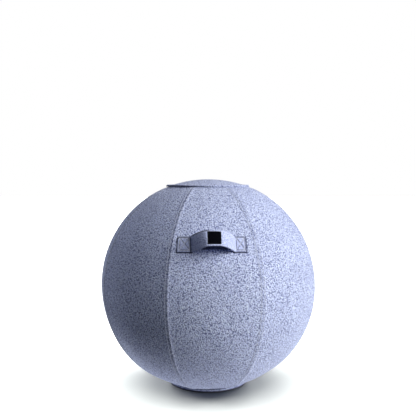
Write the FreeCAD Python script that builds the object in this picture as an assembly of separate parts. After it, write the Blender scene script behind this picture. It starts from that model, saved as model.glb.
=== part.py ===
import FreeCAD, Part
import math
import os

# Balance ball chair: an inflated ball in a fitted cover of eight gores, with a brim round the
# top, a weighted brim round the base, a sewn carry handle at the front and a zip at the back.
# Millimetres and degrees. +Z is up, the floor is z = 0 and the handle faces -Y.
# An azimuth is counted from -Y towards +X, a latitude from the equator upwards.

V = FreeCAD.Vector

# ---- driving dimensions ----

# the covered ball
ball_diameter = 650.0  # across the cover at its equator
arc_offset = 13.0  # the side's arc is struck this far out from the axis
gore_count = 8
seam_phase = 1.2  # the gores stand this far round from the handle's middle
cover_thickness = 3.0
ball_wall = 1.0
cloth_gap = 0.3  # between curved faces that lie on each other
fit_gap = 0.1  # round a core in its sleeve

# top of the cover
top_seam_radius = 109.0
top_brim_width = 16.4
cap_margin = 7.5  # the flatter caps reach this far outside the top brim
top_brim_rise = 1.0  # flat top of the brim over the seam
top_brim_lift = 0.5  # under the brim, over the gores
brim_wall = 1.2
top_core_inset = 8.0  # from the seam to the stiffener ring

# base of the cover
base_seam_radius = 107.0
base_brim_width = 15.5
base_brim_height = 5.0
base_core_inset = 2.0
base_panel_thickness = 2.0
grip_pad_thickness = 0.8
grip_pad_margin = 2.5  # inside the base brim's edge

# topstitching
thread_width = 0.6
thread_height = 0.35
seam_row_offset = 4.7  # from the seam to each of its two rows
seam_row_top_margin = 2.0  # rows stop this far outside the top brim
seam_row_base_margin = 5.0  # and this far outside the base seam
brim_row_inset = 3.0

# handle
handle_latitude = 28.0
handle_width = 45.0
handle_thickness = 4.0  # of the strap and of its sewn ends
handle_bow = 46.0  # from the cover to the strap's outer face, at its middle
handle_shoulder = 28.0  # half the strap's flat middle, corner to corner
handle_foot = 56.0  # from the middle to where the strap lands
handle_end = 89.0  # from the middle to the sewn end's edge
shoulder_bend = 16.0
foot_bend = 12.0
tab_overlap = 2.0  # of the strap's foot on its sewn end
hinge_rise = 15.0  # the strap swings about this height over its feet
swing_gap = 0.3  # between the strap and its ends
core_thickness = 1.6
core_width = 39.0
box_stitch_inset = 4.0
label_side = 35.0
label_thickness = 0.8
label_stitch_inset = 2.0

# zip, along one seam at the back
zip_seam = 3  # counted from the seam right of the handle
zip_top_latitude = 52.0  # middle of the slider, zip closed
zip_travel = 100.0  # degrees of latitude that the slider runs down
zip_slot = 10.0
zip_rebate = 17.0  # half width of the thinned cover over the tapes
zip_lip = 1.0
zip_end_margin = 3.0  # degrees from the slider's middle to the slot's end
tape_thickness = 0.5
tape_inner = 1.2  # from the seam to the tape's edge
tape_outer = 16.0
coil_width = 3.1
coil_height = 2.0
coil_gap = 0.1  # from the seam to each coil
slider_length = 17.0
slider_width = 9.2
slider_plate = 0.9
slider_gap = 0.3  # round the tapes and the coils
flange_thickness = 0.9
neck_length = 3.2
neck_width = 1.6
crown_length = 9.0
crown_post = 1.8
crown_width = 2.0
crown_opening = 2.6
crown_bridge = 1.0
pin_radius = 0.7
pin_height = 1.5  # over the slider's top plate
pull_eye_radius = 1.2
pull_arm_gap = 0.4  # between the crown and each arm
pull_arm_width = 1.4
pull_plate_start = 5.6  # from the pin to the pull's plate
pull_plate_thickness = 1.2
pull_length = 30.0
pull_width = 8.0
stop_length = 0.6  # degrees
zip_row_offset = 8.0

# valve of the inner ball
valve_azimuth = 180.0
valve_latitude = 0.0
valve_radius = 9.0
valve_depth = 9.0
valve_flange_radius = 12.0
valve_flange_thickness = 0.9
valve_recess_radius = 7.3
valve_recess_depth = 1.5
valve_bore_radius = 4.0
plug_clearance = 0.15
plug_head_thickness = 1.2
plug_length = 7.5

# ---- sizes that follow ----

origin = V(0, 0, 0)
up = V(0, 0, 1)
side_radius = ball_diameter / 2 - arc_offset
top_brim_radius = top_seam_radius + top_brim_width
base_brim_radius = base_seam_radius + base_brim_width
# the side's arc runs into the cap at this angle over the equator, with no corner
cap_angle = math.acos((top_brim_radius + cap_margin - arc_offset) / side_radius)
cap_drop = arc_offset * math.tan(cap_angle)  # of the cap's centre under the ball's
cap_radius = side_radius + arc_offset / math.cos(cap_angle)
gore_angle = 360.0 / gore_count
inner_ball_offset = -cover_thickness - cloth_gap


def cap_height(radius, offset=0.0):
    """Height of the cap over the ball's centre at a radius, offset outwards."""
    return math.sqrt((cap_radius + offset) ** 2 - radius**2) - cap_drop


# everything is built about the ball's centre, and write() lifts it by this height
centre_height = grip_pad_thickness + base_brim_height + cloth_gap + cap_height(base_seam_radius)
floor = -centre_height
base_level = floor + grip_pad_thickness  # underside of the base brim and base panel


# ---- helpers ----


def write(name, shape):
    """Writes one node, with the floor at z = 0."""
    lifted = shape.copy()
    lifted.translate(up * centre_height)
    solids = lifted.Solids
    assert solids and all(s.isValid() and s.Volume > 0 for s in solids), name
    result = solids[0] if len(solids) == 1 else Part.makeCompound(solids)
    result.exportStep(f"parts/{name}.step")
    print(f"{name}: {len(solids)} solid(s), {result.Volume:.1f} mm3")


def at(radius, height):
    return V(radius, 0, height)


def face(edges):
    return Part.Face(Part.Wire(edges))


def polygon(points):
    return Part.Face(Part.makePolygon(points + points[:1]))


def spin(profile, angle=360.0, start=0.0):
    """Solid of revolution of a profile in the XZ plane, from one azimuth through an angle."""
    turned = profile.copy()
    turned.rotate(origin, up, start - 90)
    return turned.revolve(origin, up, angle)


def ring(r_in, r_out, z_low, z_high):
    return spin(polygon([at(r_in, z_low), at(r_out, z_low), at(r_out, z_high), at(r_in, z_high)]))


def cap_arc(offset, r_from, r_to, side):
    """Arc on the top cap (side 1) or the bottom cap (side -1), between two radii."""
    radii = (r_from, (r_from + r_to) / 2, r_to)
    return Part.Arc(*[at(r, side * cap_height(r, offset)) for r in radii]).toShape()


def meridian(offset, r_top, r_bottom):
    """Edges down a meridian, from a radius on the top cap to one on the bottom cap."""
    radius = side_radius + offset
    r_join, z_join = arc_offset + radius * math.cos(cap_angle), radius * math.sin(cap_angle)
    side = Part.Arc(at(r_join, z_join), at(arc_offset + radius, 0), at(r_join, -z_join)).toShape()
    return [cap_arc(offset, r_top, r_join, 1), side, cap_arc(offset, r_join, r_bottom, -1)]


def band(inner, outer, r_top, r_bottom):
    """Face between two offsets of the meridian."""
    ends = []
    for r, side in ((r_bottom, -1), (r_top, 1)):
        pair = [at(r, side * cap_height(r, offset)) for offset in (outer, inner)]
        ends.append(Part.makeLine(*pair))
    back = list(reversed(meridian(inner, r_top, r_bottom)))
    return face(meridian(outer, r_top, r_bottom) + [ends[0]] + back + [ends[1]])


def filled(offset):
    """Solid inside the cover's surface moved out by an offset."""
    axis = Part.makeLine(at(0, -cap_height(0, offset)), at(0, cap_height(0, offset)))
    return spin(face(meridian(offset, 0, 0) + [axis]))


def on_cover(azimuth, latitude, height=0.0):
    """Placement on the cover: x along the parallel, y up the slope, z outwards."""
    turn = FreeCAD.Rotation(up, azimuth) * FreeCAD.Rotation(V(1, 0, 0), 90 - latitude)
    out = FreeCAD.Rotation(up, azimuth).multVec(V(0, -arc_offset, 0))
    return FreeCAD.Placement(out + turn.multVec(up) * (side_radius + height), turn)


def placed(shape, placement):
    moved = shape.copy()
    moved.Placement = placement.multiply(moved.Placement)
    return moved


def block(x, y, z):
    """Box from three (low, high) pairs."""
    return Part.makeBox(x[1] - x[0], y[1] - y[0], z[1] - z[0], V(x[0], y[0], z[0]))


def disc(radius, low, high):
    return Part.makeCylinder(radius, high - low, V(0, 0, low))


def both_sides(make):
    """The same piece on each side of x = 0."""
    return [make(-1), make(1)]


def span(low, high, side):
    """A range of x on one side of x = 0."""
    return (side * low, side * high) if side > 0 else (side * high, side * low)


def zip_bar(x, radii, latitudes):
    """Bar along the zip: a range of x, of radius from the side's arc centre, and of latitude."""
    azimuth = seam_azimuth(zip_seam)
    start = on_cover(azimuth, latitudes[1], -side_radius)
    corners = [V(x[i], 0, radii[j]) for i, j in ((0, 0), (1, 0), (1, 1), (0, 1))]
    axis = start.Rotation.multVec(V(1, 0, 0))
    profile = placed(polygon(corners), start)
    return profile.revolve(start.Base, axis, latitudes[1] - latitudes[0])


def seam_azimuth(number):
    return seam_phase + gore_angle * (number + 0.5)


# ---- inner ball and valve ----


def pressed_ball(inset):
    """The inner ball's shape drawn in by an inset, with the flat that the base presses in it."""
    flat_level = base_level + base_panel_thickness + cloth_gap + inset
    return filled(inner_ball_offset - inset).common(disc(ball_diameter, flat_level, ball_diameter))


def inner_ball():
    hole = placed(disc(valve_radius + fit_gap, -valve_depth, valve_depth), valve_place())
    return pressed_ball(0.0).cut(pressed_ball(ball_wall)).cut(hole)


def valve_place():
    return on_cover(valve_azimuth, valve_latitude, inner_ball_offset)


def valve_seat():
    flange_top = -ball_wall - cloth_gap
    seat = disc(valve_radius, -valve_depth, -cloth_gap)
    seat = seat.fuse(disc(valve_flange_radius, flange_top - valve_flange_thickness, flange_top))
    seat = seat.cut(disc(valve_recess_radius, -cloth_gap - valve_recess_depth, 0))
    return placed(seat.cut(disc(valve_bore_radius, -valve_depth, 0)), valve_place())


def valve_plug():
    seat_floor = -cloth_gap - valve_recess_depth
    head = disc(valve_recess_radius - plug_clearance, seat_floor, seat_floor + plug_head_thickness)
    stem = disc(valve_bore_radius - plug_clearance, seat_floor - plug_length, seat_floor)
    return placed(head.fuse(stem), valve_place())


# ---- cover ----


def gore(number):
    start = seam_azimuth(number - 1)
    profile = band(-cover_thickness, 0.0, top_seam_radius, base_seam_radius)
    piece = spin(profile, gore_angle, start)
    if number in (zip_seam, zip_seam + 1):
        piece = piece.cut(zip_room())
    return piece


def zip_latitudes():
    return (zip_top_latitude - zip_travel - zip_end_margin, zip_top_latitude + zip_end_margin)


def zip_room():
    """The slot between the gores, and the thinned cover over the tapes on both sides of it."""
    deep = side_radius - 2 * cover_thickness
    slot = zip_bar((-zip_slot / 2, zip_slot / 2), (deep, side_radius + cover_thickness), zip_latitudes())
    rebate = zip_bar((-zip_rebate, zip_rebate), (deep, side_radius - zip_lip), zip_latitudes())
    return slot.fuse(rebate)


def top_panel():
    edge = top_seam_radius - cloth_gap
    arcs = [cap_arc(offset, 0, edge, 1) for offset in (0.0, -cover_thickness)]
    axis = Part.makeLine(at(0, cap_height(0, -cover_thickness)), at(0, cap_height(0)))
    rim = Part.makeLine(at(edge, cap_height(edge)), at(edge, cap_height(edge, -cover_thickness)))
    return spin(face([arcs[0], rim, arcs[1], axis]))


def top_brim_section(inner, wall):
    """Section of the top brim, drawn in by a wall: flat on top, curved with the gores beneath."""
    top = cap_height(top_seam_radius) + top_brim_rise - wall
    r_in, r_out = inner, top_brim_radius - wall
    offset = top_brim_lift + wall
    under = cap_arc(offset, r_in, r_out, 1)
    corners = [at(r_out, cap_height(r_out, offset)), at(r_out, top), at(r_in, top),
               at(r_in, cap_height(r_in, offset))]
    sides = [Part.makeLine(a, b) for a, b in zip(corners, corners[1:])]
    return face([under] + sides)


def top_brim():
    core_inner = top_seam_radius + top_core_inset
    cavity = spin(top_brim_section(core_inner, brim_wall))
    return spin(top_brim_section(top_seam_radius, 0.0)).cut(cavity)


def top_brim_core():
    core_inner = top_seam_radius + top_core_inset + fit_gap
    return spin(top_brim_section(core_inner, brim_wall + fit_gap))


def base_core_ring(clearance):
    low = base_level + brim_wall + clearance
    high = base_level + base_brim_height - brim_wall - clearance
    inner = base_seam_radius + base_core_inset + clearance
    return ring(inner, base_brim_radius - brim_wall - clearance, low, high)


def base_brim():
    whole = ring(base_seam_radius, base_brim_radius, base_level, base_level + base_brim_height)
    return whole.cut(base_core_ring(0.0))


def base_panel():
    return disc(base_seam_radius - cloth_gap, base_level, base_level + base_panel_thickness)


def grip_pad():
    return disc(base_brim_radius - grip_pad_margin, floor, base_level)


# ---- stitching ----


def seam_rows(number):
    """The two rows of topstitching along one seam."""
    r_top = top_brim_radius + seam_row_top_margin
    r_bottom = base_seam_radius + seam_row_base_margin
    thread = band(cloth_gap, cloth_gap + thread_height, r_top, r_bottom)
    rows = []
    for side in (-1, 1):
        row = thread.extrude(V(0, thread_width, 0))
        row.translate(V(0, side * seam_row_offset - thread_width / 2, 0))
        row.rotate(origin, up, seam_azimuth(number) - 90)
        rows.append(row)
    rows = Part.makeCompound(rows)
    if number == zip_seam:
        zone = (-zip_rebate, zip_rebate), (side_radius - zip_lip, side_radius + cover_thickness)
        rows = rows.cut(zip_bar(*zone, zip_latitudes()))
    return rows


def flat_row(radius, level):
    half = thread_width / 2
    return ring(radius - half, radius + half, level, level + thread_height)


def top_brim_rows():
    level = cap_height(top_seam_radius) + top_brim_rise
    radii = (top_seam_radius + brim_row_inset, top_brim_radius - brim_row_inset)
    return Part.makeCompound([flat_row(r, level) for r in radii])


def base_brim_row():
    return flat_row(base_brim_radius - brim_row_inset, base_level + base_brim_height)


# ---- handle, in its own frame: x to the right, y up the slope, z outwards ----


def handle_place():
    return on_cover(0.0, handle_latitude)


def cover_under_handle(x):
    """Height of the cover across the handle, from its middle."""
    round_radius = side_radius + arc_offset / math.cos(math.radians(handle_latitude))
    return math.sqrt(round_radius**2 - x**2) - round_radius


def strap_points():
    """Corners of the strap's middle line, from left to right."""
    half = handle_thickness / 2
    rest = cloth_gap + half
    lap = handle_foot + foot_bend
    right = [at(handle_shoulder, handle_bow - half)]
    right += [at(x, cover_under_handle(x) + rest) for x in (handle_foot, lap)]
    return [at(-p.x, p.z) for p in reversed(right)] + right


def rounded_path(points, bends, offset):
    """Edges through the points with rounded corners, moved outwards by an offset."""
    stops = []
    for before, corner, after, bend in zip(points, points[1:], points[2:], bends):
        arriving, leaving = (corner - before).normalize(), (after - corner).normalize()
        side = 1 if arriving.cross(leaving).y < 0 else -1  # 1 where the corner bends outwards
        reach = bend * math.tan(arriving.getAngle(leaving) / 2)
        start, end = corner - arriving * reach, corner + leaving * reach
        centre = start + V(-arriving.z, 0, arriving.x) * side * bend
        middle = centre + (corner - centre).normalize() * bend
        scale = (bend - side * offset) / bend
        stops.append([centre + (p - centre) * scale for p in (start, middle, end)])
    first, last = (points[1] - points[0]).normalize(), (points[-1] - points[-2]).normalize()
    here = points[0] + V(-first.z, 0, first.x) * offset
    edges = []
    for start, middle, end in stops:
        edges += [Part.makeLine(here, start), Part.Arc(start, middle, end).toShape()]
        here = end
    edges.append(Part.makeLine(here, points[-1] + V(-last.z, 0, last.x) * offset))
    return edges


def ribbon(thickness, width):
    """The bowed strap as one bent bar of a thickness and a width."""
    points = strap_points()
    bends = (foot_bend, shoulder_bend, shoulder_bend, foot_bend)
    outer, inner = [rounded_path(points, bends, s * thickness / 2) for s in (1, -1)]
    caps = [Part.makeLine(a.Vertexes[i].Point, b.Vertexes[i].Point)
            for a, b, i in ((outer[-1], inner[-1], -1), (inner[0], outer[0], 0))]
    bar = face(outer + [caps[0]] + list(reversed(inner)) + [caps[1]]).extrude(V(0, width, 0))
    bar.translate(V(0, -width / 2, 0))
    return bar


def hinge_height():
    """Height of the swing axis over the cover at the handle's middle."""
    return strap_points()[-2].z + hinge_rise


def hinge_x():
    """Where the strap's flank crosses the swing axis."""
    shoulder, foot = strap_points()[-3:-1]
    share = (hinge_height() - foot.z) / (shoulder.z - foot.z)
    return foot.x + (shoulder.x - foot.x) * share


def handle_reach(x):
    """Everything within a range of x, across the whole handle."""
    return block(x, (-handle_width, handle_width), (-handle_bow, 2 * handle_bow))


def swinging():
    half = hinge_x() - swing_gap / 2
    return handle_reach((-half, half))


def handle_strap():
    cavity = ribbon(core_thickness + 2 * fit_gap, core_width + 2 * fit_gap)
    return placed(ribbon(handle_thickness, handle_width).cut(cavity).common(swinging()), handle_place())


def handle_core():
    return placed(ribbon(core_thickness, core_width).common(swinging()), handle_place())


def cover_skin(low, high):
    """Layer of cloth on the cover under the handle, between two heights, in the handle's frame."""
    skin = filled(high).cut(filled(low))
    return placed(skin, handle_place().inverse())


def sewn_end(side):
    half = handle_width / 2
    tab = block(span(handle_foot, handle_end, side), (-half, half), (-handle_bow, handle_bow))
    tab = tab.common(cover_skin(cloth_gap, cloth_gap + handle_thickness))
    foot_x = span(hinge_x() + swing_gap / 2, handle_foot + tab_overlap, side)
    foot = ribbon(handle_thickness, handle_width).common(handle_reach(foot_x))
    foot = foot.cut(placed(filled(cloth_gap), handle_place().inverse()))
    return placed(foot.fuse(tab).removeSplitter(), handle_place())


def bar_between(a, b, width):
    """Upright plate of a width between two points of the XY plane, from below to above the cloth."""
    along = b - a
    plate = block((0, along.Length), (-width / 2, width / 2), (-handle_bow, handle_bow))
    plate.rotate(origin, up, math.degrees(math.atan2(along.y, along.x)))
    plate.translate(a)
    return plate


def box_stitch(side):
    """Box of stitching with a cross in it, on one sewn end."""
    left, right = span(handle_foot + box_stitch_inset, handle_end - box_stitch_inset, side)
    high = handle_width / 2 - box_stitch_inset
    corners = [V(left, -high, 0), V(right, -high, 0), V(right, high, 0), V(left, high, 0)]
    lines = list(zip(corners, corners[1:] + corners[:1])) + [corners[::2], corners[1::2]]
    plates = [bar_between(a, b, thread_width) for a, b in lines]
    pattern = plates[0].multiFuse(plates[1:])
    base = 2 * cloth_gap + handle_thickness
    return placed(pattern.common(cover_skin(base, base + thread_height)), handle_place())


def label_patch():
    half = label_side / 2
    return placed(block((-half, half), (-half, half), (handle_bow, handle_bow + label_thickness)),
                  handle_place())


def label_stitching():
    level = handle_bow + label_thickness
    outer = label_side / 2 - label_stitch_inset
    inner = outer - thread_width
    frames = [block((-h, h), (-h, h), (level, level + thread_height)) for h in (outer, inner)]
    return placed(frames[0].cut(frames[1]), handle_place())


# ---- zip ----

tape_top = side_radius - zip_lip - slider_gap
tape_radii = (tape_top - tape_thickness, tape_top)
coil_radii = (tape_top, tape_top + coil_height)
top_plate_radii = (coil_radii[1] + slider_gap, coil_radii[1] + slider_gap + slider_plate)
bottom_plate_radii = (tape_radii[0] - slider_gap - slider_plate, tape_radii[0] - slider_gap)


def along_zip(length):
    """Latitude that a length along the zip takes up."""
    return math.degrees(length / side_radius)


def zip_tape(side):
    return zip_bar(span(tape_inner, tape_outer, side), tape_radii, zip_latitudes())


def zip_coil(side):
    low = zip_latitudes()[0] + 2 * stop_length
    high = zip_top_latitude + along_zip(slider_length / 2 - neck_length) - coil_gap
    return zip_bar(span(coil_gap, coil_gap + coil_width, side), coil_radii, (low, high))


def zip_stop(low):
    half = coil_gap + coil_width
    radii = (tape_top + fit_gap, coil_radii[1])
    return zip_bar((-half, half), radii, (low, low + stop_length))


def zip_rows():
    low, high = zip_latitudes()
    radii = (side_radius + cloth_gap, side_radius + cloth_gap + thread_height)
    ranges = [span(zip_row_offset, zip_row_offset + thread_width, side) for side in (-1, 1)]
    return Part.makeCompound([zip_bar(x, radii, (low, high)) for x in ranges])


def crown_level():
    return top_plate_radii[1] - side_radius


def zip_slider():
    half = slider_width / 2
    reach = along_zip(slider_length / 2)
    whole = (zip_top_latitude - reach, zip_top_latitude + reach)
    plates = [zip_bar((-half, half), radii, whole) for radii in (top_plate_radii, bottom_plate_radii)]
    neck = zip_bar((-neck_width / 2, neck_width / 2), (bottom_plate_radii[1], top_plate_radii[0]),
                   (whole[1] - along_zip(neck_length), whole[1]))
    flange_radii = (tape_top + slider_gap, top_plate_radii[0])
    flanges = both_sides(
        lambda side: zip_bar(span(half - flange_thickness, half, side), flange_radii, whole))
    sunk = slider_plate / 2  # of the crown's posts in the top plate
    long, wide = crown_length / 2, crown_width / 2
    arch = block((-wide, wide), (-long, long), (-sunk, crown_opening + crown_bridge))
    inside = long - crown_post
    arch = arch.cut(block((-crown_width, crown_width), (-inside, inside), (-slider_plate, crown_opening)))
    crown = placed(arch, on_cover(seam_azimuth(zip_seam), zip_top_latitude, crown_level()))
    return plates[0].multiFuse([plates[1], neck, crown] + flanges).removeSplitter()


def pin_place():
    return on_cover(seam_azimuth(zip_seam), zip_top_latitude, crown_level() + pin_height)


def zip_pull():
    """Pull tab: a pin through the crown, an arm on each side of it and a plate that hangs down."""
    arm_in = crown_width / 2 + pull_arm_gap
    arm_out = arm_in + pull_arm_width
    sideways = V(1, 0, 0)
    half = pull_plate_thickness / 2
    pin = Part.makeCylinder(pin_radius, 2 * arm_out, V(-arm_out, 0, 0), sideways)
    eyes = both_sides(lambda side: Part.makeCylinder(
        pull_eye_radius, pull_arm_width, V(span(arm_in, arm_out, side)[0], 0, 0), sideways))
    arms = both_sides(lambda side: block(span(arm_in, arm_out, side), (-pull_plate_start - half, 0),
                                         (-half, half)))
    tip = pull_width / 2
    plate = block((-tip, tip), (tip - pull_length, -pull_plate_start), (-half, half))
    end = Part.makeCylinder(tip, 2 * half, V(0, tip - pull_length, -half))
    pull = pin.multiFuse(eyes + arms + [plate, end]).removeSplitter()
    return placed(pull, pin_place())


# ---- the whole object ----

gore_names = ("front", "front_right", "right", "back_right", "back", "back_left", "left", "front_left")


def build():
    os.makedirs("parts", exist_ok=True)
    write("inner_ball", inner_ball())
    write("valve_seat", valve_seat())
    write("valve_plug", valve_plug())
    for number in range(gore_count):
        label = gore_names[number] if number < len(gore_names) else str(number + 1)
        write(f"gore_{label}", gore(number))
        write(f"seam_stitching_{number + 1}", seam_rows(number))
    write("top_panel", top_panel())
    write("top_brim", top_brim())
    write("top_brim_core", top_brim_core())
    write("top_brim_stitching", top_brim_rows())
    write("base_panel", base_panel())
    write("base_brim", base_brim())
    write("base_brim_core", base_core_ring(fit_gap))
    write("base_brim_stitching", base_brim_row())
    write("grip_pad", grip_pad())
    write("handle_strap", handle_strap())
    write("handle_core", handle_core())
    write("label_patch", label_patch())
    write("label_stitching", label_stitching())
    for label, side in (("left", -1), ("right", 1)):
        write(f"handle_end_{label}", sewn_end(side))
        write(f"box_stitch_{label}", box_stitch(side))
        write(f"zip_tape_{label}", zip_tape(side))
        write(f"zip_coil_{label}", zip_coil(side))
    low, high = zip_latitudes()
    write("zip_stop_top", zip_stop(high - stop_length))
    write("zip_stop_bottom", zip_stop(low))
    write("zip_stitching", zip_rows())
    write("zip_slider", zip_slider())
    write("zip_pull", zip_pull())


build()
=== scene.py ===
# %% [markdown]
# # A balance ball chair
# The seat is an inflated ball in a fitted cover of blue-grey felt. Eight long panels, called
# gores, run from a stiff ring round the top to a weighted ring round the base. A padded strap
# at the front carries it, and a zip at the back lets the ball in and out.
#
# The imported CAD model comes in first. It fixes where every piece is, and most pieces that are
# modelled below take the place of one of its solids and move with one of its bodies.

# %% Load the imported frame
import math

import bmesh
import bpy
import numpy as np
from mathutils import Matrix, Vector


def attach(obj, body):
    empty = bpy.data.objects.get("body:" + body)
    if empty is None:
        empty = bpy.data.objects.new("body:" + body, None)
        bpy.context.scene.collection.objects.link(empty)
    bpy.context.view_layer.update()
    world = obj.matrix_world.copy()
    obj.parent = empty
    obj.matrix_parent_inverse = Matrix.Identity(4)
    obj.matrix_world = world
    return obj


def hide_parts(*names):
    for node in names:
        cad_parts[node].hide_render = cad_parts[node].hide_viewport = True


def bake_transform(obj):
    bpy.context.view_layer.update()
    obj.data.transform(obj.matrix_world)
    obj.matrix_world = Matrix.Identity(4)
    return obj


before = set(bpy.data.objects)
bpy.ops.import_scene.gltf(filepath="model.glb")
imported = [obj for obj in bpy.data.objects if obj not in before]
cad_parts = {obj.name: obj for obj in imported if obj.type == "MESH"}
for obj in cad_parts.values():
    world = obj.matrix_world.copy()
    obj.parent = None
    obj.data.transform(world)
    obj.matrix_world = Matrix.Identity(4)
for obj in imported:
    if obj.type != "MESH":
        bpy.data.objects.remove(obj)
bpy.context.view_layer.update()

# %% [markdown]
# ## The shape that everything sits on
# The cover is a body of revolution with seams. Its side is an arc that is struck 13 mm out from
# the axis, and flatter caps close it at the top and the bottom. One function that turns an
# azimuth and a tilt into a point is all that the gores, the stitches, the zip and the handle
# need. Azimuth 0 faces the viewer, and tilt is the angle that the surface faces upwards.
# Sizes are in millimetres until a mesh is made.

# %% Sizes of the covered ball
MM = 0.001
ARC_OFFSET = 13.0
SIDE_RADIUS = 312.0
BALL_RADIUS = ARC_OFFSET + SIDE_RADIUS
GORE_NAMES = ["front", "front_right", "right", "back_right",
              "back", "back_left", "left", "front_left"]
GORE_ANGLE = 360 / len(GORE_NAMES)
SEAM_PHASE = 1.2
TOP_SEAM, TOP_EDGE = 109.0, 125.4
BASE_SEAM, BASE_EDGE = 107.0, 122.5
CAP_EDGE = TOP_EDGE + 7.5  # the flatter caps begin here
CAP_ANGLE = math.acos((CAP_EDGE - ARC_OFFSET) / SIDE_RADIUS)
CAP_DROP = ARC_OFFSET * math.tan(CAP_ANGLE)
CAP_RADIUS = SIDE_RADIUS + ARC_OFFSET / math.cos(CAP_ANGLE)
GRIP_PAD, BASE_RING, GAP = 0.8, 5.0, 0.3
CENTRE = GRIP_PAD + BASE_RING + GAP + math.sqrt(CAP_RADIUS**2 - BASE_SEAM**2) - CAP_DROP
CLOTH = 3.0
print(f"centre of the ball {CENTRE:.2f} mm over the floor")


# %% A point on the cover
def turned(radius, level, azimuth):
    """Point at a distance from the ball's axis and a level, both of which may be arrays."""
    a = np.radians(azimuth)
    return np.stack(np.broadcast_arrays(radius * np.sin(a), -radius * np.cos(a), level), -1)


def outwards(azimuth, tilt):
    """Direction that the cover faces."""
    return turned(np.cos(np.radians(tilt)), np.sin(np.radians(tilt)), azimuth)


def profile(tilt, height=0.0):
    """Distance from the axis and level over the floor, at a height over the cover."""
    t = np.radians(tilt)
    on_cap = np.abs(t) > CAP_ANGLE
    reach = np.where(on_cap, CAP_RADIUS, SIDE_RADIUS) + height
    level = reach * np.sin(t) - np.where(on_cap, CAP_DROP, 0) * np.sign(t) + CENTRE
    return np.where(on_cap, 0, ARC_OFFSET) + reach * np.cos(t), level


def parallel_radius(tilt):
    return profile(tilt)[0]


def on_cover(azimuth, tilt, height=0.0):
    """Point over the cover, in millimetres."""
    return turned(*profile(tilt, height), azimuth)


def cap_tilt(radius):
    return math.degrees(math.acos(radius / CAP_RADIUS))


def cap_level(radius, height=0.0):
    """Height over the floor of the top cap."""
    return np.sqrt((CAP_RADIUS + height) ** 2 - np.square(radius)) - CAP_DROP + CENTRE


def seam_azimuth(number):
    return SEAM_PHASE + GORE_ANGLE * (number + 0.5)


print("seams at", [round(seam_azimuth(n), 1) for n in range(8)])

# %% [markdown]
# ## Relief of the sewn cover
# A sewn cover isn't smooth. Each panel lies flatter than the ball, with a slow unevenness, and
# the seams are slight ridges. Along a seam the folded cloth underneath lifts the felt into a
# welt, the seam is a sharp groove in its middle, and a row of topstitching on each side pulls the
# felt down. Painted shade darkens the felt between the rows and beside them, in dashes along each
# row, as shade in the grooves. It could all be sculpted, but one height field and one value of
# painted shade can be read by every piece.

# %% Small curves that the relief is made of
def ramp(x):
    """0 below 0, 1 above 1 and smooth between."""
    x = np.clip(x, 0, 1)
    return x * x * (3 - 2 * x)


def bell(x, middle, width):
    return np.exp(-(((x - middle) / width) ** 2))


# %% The handle's own frame
SIDES = (("left", -1), ("right", 1))
HANDLE_TILT = 28.0
HANDLE_ORIGIN = on_cover(0.0, HANDLE_TILT)
HANDLE_OUT, HANDLE_UP = outwards(0.0, HANDLE_TILT), outwards(0.0, HANDLE_TILT + 90)
print("middle of the handle:", np.round(HANDLE_ORIGIN, 1))
HANDLE_RIGHT = np.array([1.0, 0, 0])
HANDLE_FOOT, HANDLE_HALF = 56.0, 22.5  # where the sewn ends begin, and half the strap's width
TAB_HALF = 20.5  # the box stitching draws the sewn ends in
TAB_ENDS = ((91.5, 89.0), (87.5, 86.0))  # left and right, each at its lower and upper corner
FRONT_DEPTH = -60.0  # what lies deeper than this isn't near the handle


def handle_point(x, y, z):
    """Point in millimetres from the handle's frame: right, up the slope, outwards."""
    x, y, z = (np.asarray(v, float)[..., None] for v in (x, y, z))
    return HANDLE_ORIGIN + x * HANDLE_RIGHT + y * HANDLE_UP + z * HANDLE_OUT


def place_at_handle(azimuth, tilt):
    """A point of the cover in the handle's frame: right, up, and whether it is in front."""
    place = on_cover(azimuth, tilt) - HANDLE_ORIGIN
    return place @ HANDLE_RIGHT, place @ HANDLE_UP, place @ HANDLE_OUT > FRONT_DEPTH


# %% Where the zip opens the cover
ZIP_SEAM = 3
ZIP_TOP, ZIP_BOTTOM = 55.0, -51.0
ZIP_HALF = 5.0
ZIP_END = 1.3  # degrees that the opening takes to close
print(f"the zip is {math.radians(ZIP_TOP - ZIP_BOTTOM) * SIDE_RADIUS:.0f} mm long")


def zip_share(tilt):
    """1 along the zip, 0 beyond its ends."""
    below_top, above_bottom = ZIP_TOP + ZIP_END - tilt, tilt - ZIP_BOTTOM + ZIP_END
    return ramp(below_top / ZIP_END) * ramp(above_bottom / ZIP_END)


# %% The height field of the cover
PANEL_HOLLOW = 3.2  # middle of a panel, in from the ball
SEAM_RIDGE, RIDGE_SPREAD = 2.0, 28.0  # the seams stand out, and how far the panel slopes to them
FLAT_SEAM = 0.5  # the seam right of the handle stands out less
WELT_RISE, WELT_FLAT, WELT_SLOPE = 0.7, 5.0, 4.0  # and how far it is flat, then slopes
SEAM_GROOVE, ROW_GROOVE, GROOVE_WIDTH = 0.8, 0.7, 0.7
LIP_RISE, LIP_FLAT, LIP_SLOPE, LIP_GROOVE = 0.5, 8.0, 3.0, 0.6  # the same beside the open zip
EVEN_UP_TO = 40.0  # a seam holds the felt even, less so up to this distance
BETWEEN_WIDTH, BESIDE_WIDTH = 2.1, 1.6  # painted shade between the rows and on them
DARK_FROM, DARK_OVER = -50.0, 30.0  # tilt where a seam's painted shade begins to darken, and how far that takes
ROW_OFFSET, ZIP_ROW = 4.7, 8.3  # topstitching, from a seam and from the zip
SHADE_DASH_PITCH = 3.3  # degrees between the darkest places in a row's painted shade
TAB_PRESS = 1.2
BRIM_CLEAR = 127.0  # the welts end where the brims cover them
SETTLING = ((7, 2, 0.16, 0.3), (13, -6, 0.14, 1.9), (17, 11, 0.12, 4.4), (29, 9, 0.09, 2.6))


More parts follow.
